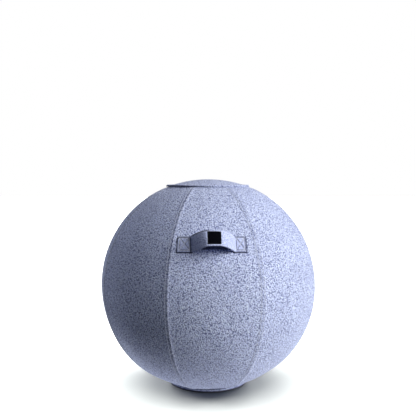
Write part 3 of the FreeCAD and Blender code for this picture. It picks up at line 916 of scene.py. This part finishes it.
base_section = sleeve(BASE_SEAM, BASE_EDGE, 2.6,
                      lambda r: GRIP_PAD + EDGE_LIFT * ramp((r - BASE_EDGE) / EDGE_ROLL + 1),
                      base_top, GRIP_PAD + EDGE_LIFT + 0.3, 1, (12, 18))
BASE_FOLD = np.array([0] * 10 + [0.8, 1, 1, 0.9, 0.4] + [0] * 22)  # painted shade on the low edge, round the section
BASE_TUCK = np.array([0] * 17 + [0.4, 0.9, 1, 1, 1, 1] + [0] * 14)  # painted shade where it meets the gores
base_brim = closed_ring("cover_base_brim", *base_section, "cover_felt")
# The painted shade where the brim meets the gores comes and goes round it.
shade_wobble = 0.75 + 0.25 * np.sin(np.radians(RING_AZIMUTHS[:, None]) * 31)
store(base_brim, "painted_shade", BASE_FOLD + shade_wobble * BASE_TUCK)
hand_over(base_brim, "cover_fabric", "base_brim")

base_radii = spaced([0.5, BASE_SEAM - GAP], [6])
base_panel = round_sheet("cover_base", base_radii,
                         lambda r: GRIP_PAD + 1.9 + 0.1 * np.cos(r / 9), "cover_felt", 1.8)
store(base_panel, "painted_shade", np.zeros(len(base_panel.data.vertices)))
hand_over(base_panel, "cover_fabric", "base_panel")

base_row = ring_row(BASE_EDGE - 3, base_level(BASE_EDGE - 3) - 1.25)
base_stitches = sewn("topstitching_base_brim", [base_row], BRIM_STITCH, 31)
hand_over(base_stitches, "thread", "base_brim_stitching")

# %% Grip pad with its dots
DOT_PITCH, DOT_RADIUS, DOT_HEIGHT = 9.0, 2.6, 0.45
PAD_RADIUS = BASE_EDGE - 2.5
dotting, given = new_group("dotting", Radius=0.0026, Height=0.00045)
stud = dotting.node("GeometryNodeMeshCone", inputs={
    "Vertices": 12, "Radius Top": given["Radius"], "Radius Bottom": given["Radius"] * 0.7,
    "Depth": given["Height"]})
dots = dotting.node("GeometryNodeInstanceOnPoints", inputs={
    "Points": given["Geometry"], "Instance": stud})
end_tree(dotting, dots, "grip_rubber")

count = int(PAD_RADIUS / DOT_PITCH) + 2
steps = np.arange(-count, count + 1)
column, line = np.meshgrid(steps, steps)
x = (column + 0.5 * (line % 2)) * DOT_PITCH
y = line * DOT_PITCH * math.sqrt(3) / 2
inside = np.hypot(x, y) < PAD_RADIUS - DOT_RADIUS - 1
places = np.stack([x[inside], y[inside], np.zeros(inside.sum())], -1)
grip_dots = make_piece("grip_dots", places, [], "grip_rubber")
grow(grip_dots, dotting.tree, Radius=DOT_RADIUS * MM, Height=DOT_HEIGHT * MM)
hand_over(grip_dots, "grip_rubber")

grip_pad = round_sheet("grip_pad_sheet", spaced([0.5, PAD_RADIUS], [8]),
                       lambda r: GRIP_PAD - 0.02 + 0 * r, "grip_rubber",
                       GRIP_PAD - DOT_HEIGHT - 0.02)
hand_over(grip_pad, "grip_rubber", "grip_pad")
print("dots:", len(places))

# %% [markdown]
# ## Handle
# The handle is one padded strap of the same felt. Both ends lie flat on the front gore, each sewn
# down with a box and a cross, and between them the strap bows out for a hand. The stitching
# pulls grooves into the felt, and those grooves catch more light and shade than the thread does,
# so they are in the mesh. A bevelled curve would do for the bow, but the sewn ends take the
# cover's own shape, so the strap is a loop of section points that is swept along its line.

# %% How high the cover stands under the handle
STRAP_THICKNESS = 4.0
UNDER_STRAP = 0.2
STRAP_TOP = STRAP_THICKNESS / 2


def cover_angles(place):
    """Azimuth, tilt and height over the side's arc of points in millimetres."""
    x, y, z = np.moveaxis(place, -1, 0)
    out, up = np.hypot(x, y) - ARC_OFFSET, z - CENTRE
    azimuth, tilt = np.degrees(np.arctan2(x, -y)), np.degrees(np.arctan2(up, out))
    return azimuth, tilt, np.hypot(out, up) - SIDE_RADIUS


def cover_height(x, y):
    """Height of the cover's relief in the handle's frame, found in a few steps."""
    x, y = np.broadcast_arrays(np.asarray(x, float), np.asarray(y, float))
    z = -(x**2) / (2 * BALL_RADIUS) - y**2 / (2 * SIDE_RADIUS)
    for _ in range(6):
        azimuth, tilt, above = cover_angles(handle_point(x, y, z))
        z = z - (above - relief(azimuth, tilt)[0] + TAB_PRESS * tab_press(azimuth, tilt))
    return z


print("cover under the strap's feet:",
      np.round(cover_height([-HANDLE_FOOT, HANDLE_FOOT], 0), 2))

# %% The strap's line
LYING = STRAP_TOP + UNDER_STRAP
TAB_KNOTS = (1, 0.75, 0.5, 0.25, 0.08)  # shares of a sewn end, from its outer edge to its foot
STATION_STEP, SMOOTHINGS = 1.15, 6
BOW_KNOTS = (  # x and height of the strap's middle at its upper edge, then at its lower edge
    (-50.5, 10.5, -46.5, 4.5), (-43.0, 23.5, -35.0, 15.0), (-32.0, 36.0, -24.0, 33.5),
    (-18.5, 43.6, -14.5, 43.2), (2.0, 44.4, 2.0, 44.8), (19.5, 42.4, 18.5, 43.6),
    (33.0, 34.0, 32.5, 35.5), (45.0, 21.0, 44.5, 20.5), (52.0, 8.5, 51.5, 7.5))


def edge_of_tab(side, share):
    """Knot on a sewn end, 0 at its foot and 1 at its outer edge."""
    ends = TAB_ENDS[(side + 1) // 2]
    xs = [side * (HANDLE_FOOT + (end - HANDLE_FOOT) * share) for end in ends]
    heights = [float(cover_height(x, y + strap_drift(x))) + LYING
               for x, y in zip(xs, (-HANDLE_HALF, HANDLE_HALF))]
    return xs[1], heights[1], xs[0], heights[0]


def steady_curve(knots, length, places):
    """Curve through knots without overshoot, read at places along its length."""
    slope = np.diff(knots, axis=0) / np.diff(length)[:, None]
    before, after = slope[:-1], slope[1:]
    agree = before * after > 0
    inner = np.where(agree, 2 * before * after / np.where(agree, before + after, 1), 0)
    slope = np.vstack([slope[:1], inner, slope[-1:]])
    k = np.clip(np.searchsorted(length, places, "right") - 1, 0, len(length) - 2)
    step = (length[k + 1] - length[k])[:, None]
    t = (places - length[k])[:, None] / step
    return ((2 * t**3 - 3 * t**2 + 1) * knots[k] + (t**3 - 2 * t**2 + t) * step * slope[k]
            + (3 * t**2 - 2 * t**3) * knots[k + 1] + (t**3 - t**2) * step * slope[k + 1])


def strap_lines():
    """Upper and lower edge of the strap's middle layer, station by station, and the run."""
    knots = np.array([edge_of_tab(-1, share) for share in TAB_KNOTS] + list(BOW_KNOTS)
                     + [edge_of_tab(1, share) for share in TAB_KNOTS[::-1]])
    chords = np.hypot(np.diff(knots[:, 0::2], axis=0), np.diff(knots[:, 1::2], axis=0)).mean(1)
    length = np.concatenate([[0], np.cumsum(chords)])
    places = np.linspace(0, length[-1], round(length[-1] / STATION_STEP) + 1)
    lines = steady_curve(knots, length, places)
    for _ in range(SMOOTHINGS):
        lines[1:-1] = (lines[:-2] + 2 * lines[1:-1] + lines[2:]) / 4
    return lines[:, :2], lines[:, 2:], places


upper, lower, run = strap_lines()
MIDDLE_X = (upper[:, :1] + lower[:, :1]) / 2
print(f"strap: {run[-1]:.1f} mm along its middle, {len(run)} stations")

# %% Grooves that the stitching pulls into the strap
BOX_INSET = 4.0
BOX_Y = TAB_HALF - BOX_INSET + 0.5
EDGE_ROW = 3.0  # from the strap's edge to its rows
BOW_NARROWER, BOW_HALF = 0.9, 30.0  # at each side, and how far from the middle
print(f"a box is {TAB_ENDS[0][1] - HANDLE_FOOT - 2 * BOX_INSET:.0f} by {2 * BOX_Y:.0f} mm")


def box_lines(side):
    """The six straight rows of one sewn end, as pairs of (x, y)."""
    near = side * (HANDLE_FOOT + BOX_INSET)
    low, high = [side * (end - BOX_INSET) for end in TAB_ENDS[(side + 1) // 2]]
    corners = [(near, -BOX_Y), (low, -BOX_Y), (high, BOX_Y), (near, BOX_Y)]
    return [*zip(corners, corners[1:] + corners[:1]), corners[::2], corners[1::2]]


def near_lines(x, y):
    """Distance in millimetres from the nearest row of the boxes."""
    distances = []
    for (ax, ay), (bx, by) in box_lines(-1) + box_lines(1):
        dx, dy = bx - ax, by - ay
        share = np.clip(((x - ax) * dx + (y - ay) * dy) / (dx * dx + dy * dy), 0, 1)
        distances.append(np.hypot(x - ax - share * dx, y - ay - share * dy))
    return np.min(distances, axis=0)


def strap_half(x):
    """Half the strap's width, less in its bow and in its sewn ends."""
    drawn_in = (HANDLE_HALF - TAB_HALF) * ramp((np.abs(x) - HANDLE_FOOT + 8) / 10)
    narrower = BOW_NARROWER * (1 - ramp((np.abs(x) - BOW_HALF) / BOW_HALF))
    return HANDLE_HALF - narrower - drawn_in


BOX_GROOVE, EDGE_GROOVE, CROWN = 1.0, 0.45, 0.35
SHADE_RIGHT, SHADE_UP = 1.8, 1.4  # painted shade beside the box stitches, on the groove's side away from the light
BOX_SPREAD, SHADE_SPREAD, ROW_SPREAD = 1.6, 1.2, 0.8


def crowned(w, half=HANDLE_HALF):
    """The strap's padding stands up a little in the middle of its width."""
    return CROWN * (1 - (w / half) ** 2)


def strap_top(x, w):
    """Relief of the strap's outer face over its flat thickness, and its painted shade."""
    half = strap_half(x)
    box = bell(near_lines(x, w), 0, BOX_SPREAD)
    shade = bell(near_lines(x - SHADE_RIGHT, w - SHADE_UP), 0, SHADE_SPREAD)
    on_bow = 1 - ramp((np.abs(x) - HANDLE_FOOT + 4) / 4)
    row = bell(np.abs(w), half - EDGE_ROW, ROW_SPREAD) * on_bow
    height = crowned(w, half) - BOX_GROOVE * box - EDGE_GROOVE * row
    # Painted shade, one-sided beside the box rows and faint along the edge rows.
    return height, np.maximum(0.85 * shade, 0.15 * row)


# %% Sweep a section along the lines
def strap_middle(w):
    """Points of the strap's middle layer in the handle's frame, for widths w at each station."""
    share = (w / HANDLE_HALF + 1) / 2
    x, z = (lower[:, [k]] + (upper[:, [k]] - lower[:, [k]]) * share for k in (0, 1))
    y = w + strap_drift(x)
    low, high = [cover_height(line[:, :1], side * HANDLE_HALF + strap_drift(line[:, :1]))
                 for line, side in ((lower, -1), (upper, 1))]
    lying = ramp((np.abs(x) - HANDLE_FOOT + 8) / 8)
    z = z + lying * (cover_height(x, y) - low - (high - low) * share)
    return np.stack([x, y, z], -1)


def strap_out(w):
    """Direction out of the strap at the same points."""
    along = np.gradient(strap_middle(w), axis=0)
    out = np.cross(along, strap_middle(w + 0.5) - strap_middle(w - 0.5))
    return out / np.linalg.norm(out, axis=-1, keepdims=True)


def over_strap(w, offset):
    """Points at an offset from the strap's middle layer, ready for a mesh."""
    place = strap_middle(w) + strap_out(w) * np.asarray(offset)[..., None]
    return handle_point(*np.moveaxis(place, -1, 0))


# %% Where shade is painted on the strap
FOLD_X, FOLD_SPREAD = -55.0, 1.7  # painted shade where the strap folds up from its left end
UPPER_SHADE_IN, UPPER_SHADE_FADE = 4.8, 1.6  # painted shade along its upper edge this far in, left of the middle
RIGHT_DARKER, RIGHT_DARKER_FROM = 0.06, -6.0  # the right half of the bow is a little darker


def strap_shade(w, rise, taper, groove, half, round_by):
    """Painted shade in the strap's grooves, round its sewn ends and along its folds; the bow's
    right half darker.
    """
    outer_face = rise > 0
    on_tab = ramp((np.abs(MIDDLE_X) - HANDLE_FOOT + 6) / 6)
    folded_shade = on_tab * ramp((np.abs(w) - half - 0.3) / round_by)
    upper_shade = ramp((w - half - round_by + UPPER_SHADE_IN) / UPPER_SHADE_FADE)
    upper_edge = upper_shade * ramp((-4 - MIDDLE_X) / 8) * outer_face
    fold_shade = bell(MIDDLE_X, FOLD_X, FOLD_SPREAD) * outer_face
    right_half = ramp((MIDDLE_X - RIGHT_DARKER_FROM) / 12) * ramp((HANDLE_FOOT - 6 - MIDDLE_X) / 8)
    parts = (groove, 0.8 * folded_shade, 1 - taper, upper_edge, fold_shade, RIGHT_DARKER * right_half)
    return np.max(np.broadcast_arrays(*parts), axis=0)


# %% Sew the strap and its core
CORE_THICKNESS, CORE_WIDTH = 1.4, 0.84  # millimetres, and a share of the strap's width
STRAP_COLUMNS, CORE_COLUMNS, CORNER_STEPS = 44, 12, 8


def swept_strap(name, thickness, width, material, detailed):
    """Closed bar of a thickness along the strap's lines. width is a share of the strap's own."""
    across = np.linspace(1, -1, STRAP_COLUMNS if detailed else CORE_COLUMNS)
    corner = np.radians(np.linspace(90, -90, CORNER_STEPS)[1:-1])
    round_by = thickness / 2
    half = strap_half(MIDDLE_X) * width - round_by
    w = np.hstack([half * across, -half - round_by * np.cos(corner), half * across[::-1],
                   half + round_by * np.cos(corner)])
    flat = np.ones(len(across))
    rise = np.concatenate([flat, np.sin(corner), -flat, -np.sin(corner)])
    from_end = np.minimum(run, run[-1] - run)
    taper = np.sqrt(1 - (1 - np.clip(from_end / round_by, 0.12, 1)) ** 2)[:, None]
    offset = rise * taper * thickness / 2
    painted_shade = np.zeros_like(offset)
    if detailed:
        top, groove = strap_top(strap_middle(w)[..., 0], w)
        on_top = np.maximum(rise, 0) ** 4
        offset = offset + top * on_top * taper
        painted_shade = strap_shade(w, rise, taper, groove * on_top, half, round_by)
    count = w.shape[1]
    faces = grid_faces(len(run), count, wrap_columns=True)
    faces += [list(range(count)), list(range((len(run) - 1) * count, len(run) * count))[::-1]]
    piece = make_piece(name, over_strap(w, offset), [face[::-1] for face in faces], material)
    store(piece, "painted_shade", painted_shade)
    store_cloth(piece, run[:, None], w)
    return piece


def blend_handle(piece):
    """Bakes the piece's transform into its mesh."""
    tuple(handle_point(0, 0, 1) * MM)
    tuple(handle_point(0, 0, 24) * MM)
    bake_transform(piece)


strap = swept_strap("handle_cloth", STRAP_THICKNESS, 1.0, "strap_felt", True)
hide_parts("handle_strap", "handle_end_left", "handle_end_right")
blend_handle(strap)
core = swept_strap("handle_webbing", CORE_THICKNESS, CORE_WIDTH, "webbing", False)
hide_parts("handle_core")
blend_handle(core)
print("strap:", len(strap.data.polygons), "faces")


# %% Stitching of the handle
BOX_STITCH, EDGE_STITCH = (0.0036, 0.0035, 0.0026, 0.0015), (0.0036, 0.0031, 0.0009, 0.0007)
BOX_SINK = 0.3  # the box rows lie deeper in the felt than the others


def tab_line(a, b):
    """Row on a sewn end between two (x, y) points."""
    x, w = np.linspace(a, b, 30).T
    y = w + strap_drift(x)
    lying = STRAP_THICKNESS + UNDER_STRAP + crowned(w) - BOX_SINK
    place = handle_point(x, y, cover_height(x, y) + lying)
    azimuth, tilt, _ = cover_angles(place)
    return place, outwards(azimuth, tilt), False


for name, side in SIDES:
    lines = [tab_line(a, b) for a, b in box_lines(side)]
    rows = sewn(f"box_and_cross_{name}", lines, BOX_STITCH, 41 + side)
    hand_over(rows, "thread", f"box_stitch_{name}")


def edge_line(side):
    """Row along one edge of the bowed strap."""
    w = side * (strap_half(MIDDLE_X) - EDGE_ROW)
    relief_here = strap_top(strap_middle(w)[..., 0], w)[0]
    place = over_strap(w, STRAP_TOP + relief_here + GAP - STITCH_SINK)
    out = strap_out(w) @ np.array([HANDLE_RIGHT, HANDLE_UP, HANDLE_OUT])
    bowed = np.abs(MIDDLE_X[:, 0]) < HANDLE_FOOT - 1
    return place[bowed, 0], out[bowed, 0], False


edge_rows = sewn("handle_edge_rows", [edge_line(-1), edge_line(1)], EDGE_STITCH, 51)
blend_handle(edge_rows)

# %% [markdown]
# A square woven label sits a touch right of the strap's middle. It is left bare. Its edges are
# folded under, which rounds them, and a row of stitching holds it all round. It is a grid that
# is drawn in at its corners and raised at its edges, laid on the strap's own surface.

# %% Label
LABEL_HALF, LABEL_THICKNESS = 17.5, 0.8
LABEL_X, LABEL_CORNER, LABEL_FLAT = 3.0, 2.0, 16.0
LABEL_STITCH = (0.0024, 0.0020, 0.0006, 0.0005)


def strap_level(x, y):
    """Height of the bow's outer face in the handle's frame."""
    share = (y / HANDLE_HALF + 1) / 2
    low, high = [np.interp(x, line[:, 0], line[:, 1]) for line in (lower, upper)]
    return low + (high - low) * share + STRAP_TOP + crowned(y)


def label_level(x, y):
    """The folded edge stands up a little, and the middle lies in."""
    edge = LABEL_HALF - np.maximum(np.abs(x), np.abs(y))
    folded_shade = LABEL_THICKNESS * np.sqrt(ramp(edge / 0.7)) - 0.22 * ramp((edge - 1.6) / 1.2)
    return strap_level(LABEL_X + x, y) + folded_shade


fine = LABEL_HALF - np.array([0, 0.15, 0.4, 0.8])
steps = np.concatenate([-fine, np.linspace(-LABEL_FLAT, LABEL_FLAT, 41), fine[::-1]])
x, y = np.meshgrid(steps, steps[::-1])
start = LABEL_HALF - LABEL_CORNER
past_x, past_y = (np.maximum(np.abs(v) - start, 0) for v in (x, y))
corner = np.hypot(past_x, past_y)
pull = np.where(corner > LABEL_CORNER, LABEL_CORNER / np.maximum(corner, 1e-6), 1)
x_round, y_round = (np.sign(v) * (np.minimum(np.abs(v), start) + past * pull)
                    for v, past in ((x, past_x), (y, past_y)))
label = make_piece("label", handle_point(LABEL_X + x_round, y_round, label_level(x, y)),
                   grid_faces(*x.shape), "label_weave")
store_cloth(label, x_round, y_round)
thicken(label, 0.3)
hand_over(label, "label_weave", "label_patch", body="handle")

LABEL_ROW = LABEL_HALF - 1.2
corners = np.array([(-1, -1), (1, -1), (1, 1), (-1, 1), (-1, -1)]) * LABEL_ROW
sides = []
for a, b in zip(corners, corners[1:]):
    x, y = np.linspace(a, b, 16).T
    place = handle_point(LABEL_X + x, y, label_level(x, y) + 0.1)
    sides.append((place, np.broadcast_to(HANDLE_OUT, place.shape), False))
label_rows = sewn("label_rows", sides, LABEL_STITCH, 61)
dress(label_rows.data, "label_thread")
hand_over(label_rows, "thread", "label_stitching", body="handle")

# %% [markdown]
# ## Zip
# The zip runs down a seam at the back. Its tapes lie behind the felt, and a nylon coil is sewn to
# the edge of each. A coil really is a flattened helix, so that is how it is made: the tree
# samples a path twelve times for each turn and moves every sample round an ellipse. The coils
# stay 0.7 mm apart, so that the slider's thin divider can run down between them.

# %% Points along the zip
ZIP_AZIMUTH = seam_azimuth(ZIP_SEAM)
ZIP_SIDE = outwards(ZIP_AZIMUTH + 90, 0)
print(f"the zip is at azimuth {ZIP_AZIMUTH:.1f}")
TAPE_TOP = -1.3  # under the bare cover
TAPE_THICKNESS, TAPE_INNER, TAPE_OUTER = 0.5, 1.2, 16.0
TAPE_ROW = 4.2  # the seam that holds a tape to its coil
TAPE_COLUMNS = np.array([TAPE_INNER, 1.6, 2.5, 3.6, TAPE_ROW, 6, 9, 12, 14.5, TAPE_OUTER])
COIL_HEIGHT = 2.0


def on_zip(x, tilt, height):
    """Point over the bare cover at a distance x beside the zip's line."""
    return on_cover(ZIP_AZIMUTH, tilt, height) + np.asarray(x)[..., None] * ZIP_SIDE


# %% Tapes
for name, side in SIDES:
    tilts = spaced([ZIP_TOP, ZIP_BOTTOM], [0.5])[:, None]
    across = np.sort(side * TAPE_COLUMNS)
    sewn_in = 0.12 * bell(np.abs(across), TAPE_ROW, 0.5)
    points = on_zip(across, tilts, TAPE_TOP - sewn_in)
    tape = make_piece(f"zip_tape_cloth_{name}", points, grid_faces(len(tilts), len(across)),
                      "zip_twill")
    store_cloth(tape, np.radians(tilts) * SIDE_RADIUS, across)
    thicken(tape, TAPE_THICKNESS)
    hand_over(tape, "zip_tape", f"zip_tape_{name}")

# %% A tree that winds a coil along a path
COIL_STEPS = 12
winding, given = new_group("winding", Pitch=0.0014, Across=0.00225, Height=0.0014, Strand=0.0003)
path, out, tangent = drawn_line(winding, given, given["Pitch"] / COIL_STEPS)
beside = winding.vector("CROSS_PRODUCT", tangent, out)
angle = winding.node("GeometryNodeInputIndex") * (2 * math.pi / COIL_STEPS)
sideways = winding.vector("SCALE", beside, angle.math("COSINE") * given["Across"] * 0.5)
outward = winding.vector("SCALE", out, angle.math("SINE") * given["Height"] * 0.5)
coil = winding.node("GeometryNodeSetPosition", inputs={
    "Geometry": path, "Offset": winding.vector("ADD", sideways, outward)})
strand = winding.node("GeometryNodeCurvePrimitiveCircle", {"mode": "RADIUS"},
                      {"Resolution": 5, "Radius": given["Strand"]})
coil = winding.node("GeometryNodeCurveToMesh", inputs={
    "Curve": coil, "Profile Curve": strand, "Fill Caps": True})
end_tree(winding, coil, "zip_nylon")
print("winding:", len(winding.tree.nodes), "nodes, inputs", *list(given)[1:])

# %% Wind the two coils
COIL_X, COIL_TOP, COIL_BOTTOM = 1.775, 52.8, ZIP_BOTTOM + 1.2
tilts = spaced([COIL_TOP, COIL_BOTTOM], [0.25])
for name, side in SIDES:
    path = on_zip(side * COIL_X, tilts, TAPE_TOP + COIL_HEIGHT / 2)
    line = (path, outwards(ZIP_AZIMUTH, tilts), False)
    coil = lines_piece(f"zip_coil_strand_{name}", [line], "zip_nylon")
    grow(coil, winding.tree, Pitch=0.0014, Across=0.00225, Height=0.00135, Strand=0.0003)
    hand_over(coil, "zip_coil", f"zip_coil_{name}")

# %% Stitching beside the zip and across its ends
ZIP_STITCH = (0.0036, 0.0031, 0.001, 0.0008)
zip_lines = rows_beside(ZIP_AZIMUTH, ZIP_ROW, spaced([ZIP_TOP, ZIP_BOTTOM], [0.5]))
for tilt in (ZIP_TOP + ZIP_END + 0.6, ZIP_BOTTOM - ZIP_END - 0.6):
    shift = np.degrees(np.linspace(-ZIP_ROW, ZIP_ROW, 12) / parallel_radius(tilt))
    zip_lines.append(cover_line(ZIP_AZIMUTH + shift, tilt))
hand_over(sewn("zip_rows", zip_lines, ZIP_STITCH, 71), "thread", "zip_stitching")

# %% [markdown]
# The slider and its pull tab are cast metal. Their CAD solids have the right shape but knife-sharp
# edges, so a merged copy of each gets a small bevel, which is what catches the light on metal.
# The divider between the slider's plates is made thin enough to pass between the coils.

# %% Slider and pull tab
def softened(name, node, body, width):
    """Copy of a CAD node in metal with rounded edges."""
    shape = bmesh.new()
    shape.from_mesh(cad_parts[node].data)
    bmesh.ops.remove_doubles(shape, verts=shape.verts, dist=1e-5)
    mesh = bpy.data.meshes.new(name)
    shape.to_mesh(mesh)
    shape.free()
    dress(mesh, "zip_metal")
    piece = new_object(name, mesh)
    bevel = piece.modifiers.new("edges", "BEVEL")
    bevel.width, bevel.segments, bevel.limit_method = width * MM, 2, "ANGLE"
    bevel.angle_limit = math.radians(40)
    hand_over(piece, "zip_metal", node, body=body)
    print(f"{name}: {len(mesh.polygons)} faces before its bevel")
    return piece


DIVIDER_HALF, BLADE_HALF = 0.8, 0.22
slider = softened("zip_slider_metal", "zip_slider", "slider", 0.15)
for vertex in slider.data.vertices:
    beside = vertex.co.dot(Vector(ZIP_SIDE)) / MM
    if abs(abs(beside) - DIVIDER_HALF) < 0.05:
        vertex.co -= Vector(ZIP_SIDE) * math.copysign(DIVIDER_HALF - BLADE_HALF, beside) * MM
softened("zip_pull_metal", "zip_pull", "pull_tab", 0.2)

# %% [markdown]
# ## The CAD pieces that stay
# What is rigid and already has its right shape keeps its CAD mesh and only gets its finish: the
# vinyl ball, its valve, the rubber ring that weighs down the base and the zip's stops.

# %% Finishes of the rigid pieces
KEPT = {"inner_ball": "ball_skin", "valve_seat": "valve_plastic", "valve_plug": "valve_plastic",
        "base_brim_core": "weight_rubber", "zip_stop_top": "zip_nylon",
        "zip_stop_bottom": "zip_nylon"}
for node, material in KEPT.items():
    dress(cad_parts[node].data, material)
print("kept:", ", ".join(KEPT))

# %% [markdown]
# ## Camera
# The camera looks from about 1.8 metres, ten degrees above the ball's middle and a touch to
# the left. It is tipped down less than that, so the ball sits low in the picture.

# %% Camera
CAMERA_AZIMUTH, CAMERA_ELEVATION, CAMERA_DISTANCE = -2.3, 10.0, 1.7875
CAMERA_PITCH, LENS = 2.72, 49.8
eye = new_object("camera", bpy.data.cameras.new("camera"))
eye.data.lens, eye.data.sensor_width = LENS, 36
eye.location = Vector((0, 0, CENTRE * MM)) + CAMERA_DISTANCE * Vector(
    outwards(CAMERA_AZIMUTH, CAMERA_ELEVATION))
eye.rotation_euler = (math.radians(90 - CAMERA_PITCH), 0, math.radians(CAMERA_AZIMUTH))
bpy.context.scene.camera = eye
print("camera at", [round(v, 3) for v in eye.location])

# %% [markdown]
# ## Light
# Two lamps at the right are a tall soft box, one nearer the front and one nearer the side. Two
# more shine up from below, as the bounce from a white studio floor does, and a weak one behind
# keeps the far side readable. None of them lights the floor. It has a broad lamp overhead, which
# leaves one soft shadow where the ball stands, and four low ones that lighten the floor beside
# and behind it. Light linking keeps the two sets apart.

# %% Floor and world
FLOOR_HALF, FLOOR_LEVEL = 20000.0, -0.3
FLOOR_TINT, WORLD_TINT, WHITE, BLACK = (0.20, 0.208, 0.204), (0.42, 0.55, 1.0), (1, 1, 1), (0, 0, 0)


def two_sided(tree, shader, seen, otherwise, output):
    """One shader for the camera and for mirrors and another for the rest of the light."""
    ray = tree.node("ShaderNodeLightPath", output="Is Camera Ray")
    mirrored, through = (Wire(tree, ray.socket.node.outputs[f"Is {kind} Ray"])
                         for kind in ("Glossy", "Transmission"))
    sides = [tree.node(shader, inputs={"Color": (*colour, 1), **strength})
             for colour, strength in (otherwise, seen)]
    mixed = tree.node("ShaderNodeMixShader", inputs={
        0: (ray + mirrored + through).clamp(0, 1), 1: sides[0], 2: sides[1]})
    tree.node(output, inputs={"Surface": mixed})


two_sided(new_material("floor"), "ShaderNodeBsdfDiffuse", (FLOOR_TINT, {}), (BLACK, {}),
          "ShaderNodeOutputMaterial")
corners = np.array([(-1, -1), (1, -1), (1, 1), (-1, 1)]) * FLOOR_HALF
floor = make_piece("floor", np.insert(corners, 2, FLOOR_LEVEL, 1), [[0, 1, 2, 3]], "floor")

world = bpy.data.worlds.new("studio")
world.use_nodes = True
bpy.context.scene.world = world
two_sided(Tree(world.node_tree), "ShaderNodeBackground", (WHITE, {"Strength": 1.0}),
          (WORLD_TINT, {"Strength": 0.072}), "ShaderNodeOutputWorld")
bpy.context.scene.view_settings.view_transform = "Standard"
print("floor and world:", floor.name, world.name)


# %% Lamps
def sun(name, azimuth, elevation, strength, spread, colour, on_floor):
    """Distant lamp from a direction that lights either the floor only or all but the floor."""
    lamp = bpy.data.lights.new(name, "SUN")
    lamp.energy, lamp.angle, lamp.color = strength * math.pi, math.radians(spread), colour
    holder = new_object(name, lamp)
    towards = Vector(outwards(azimuth, elevation))
    holder.rotation_euler = towards.to_track_quat("Z", "Y").to_euler()
    lit = bpy.data.collections.new(f"{name}_lights")
    lit.objects.link(floor)
    lit.collection_objects[0].light_linking.link_state = "INCLUDE" if on_floor else "EXCLUDE"
    holder.light_linking.receiver_collection = lit
    if not on_floor:
        holder.light_linking.blocker_collection = lit


COOL, COOLER = (0.965, 0.975, 1.0), (0.86, 0.89, 1.0)
sun("box_front", 45.5, 28, 0.67, 40, COOL, False)
sun("box_side", 75, 22, 0.73, 30, COOL, False)
sun("bounce_right", 110, -70, 0.36, 24, COOLER, False)
sun("bounce_back", 180, -60, 0.60, 24, COOLER, False)
sun("back", 235, 0, 0.42, 24, COOLER, False)
sun("floor_top", 0, 90, 8.8, 90, WHITE, True)
for side in (-1, 1):
    sun(f"floor_side_{side}", side * 90, 32, 1.45, 16, WHITE, True)
    sun(f"floor_back_{side}", side * 135, 22, 1.75, 16, WHITE, True)
print("lamps:", len(bpy.data.lights))
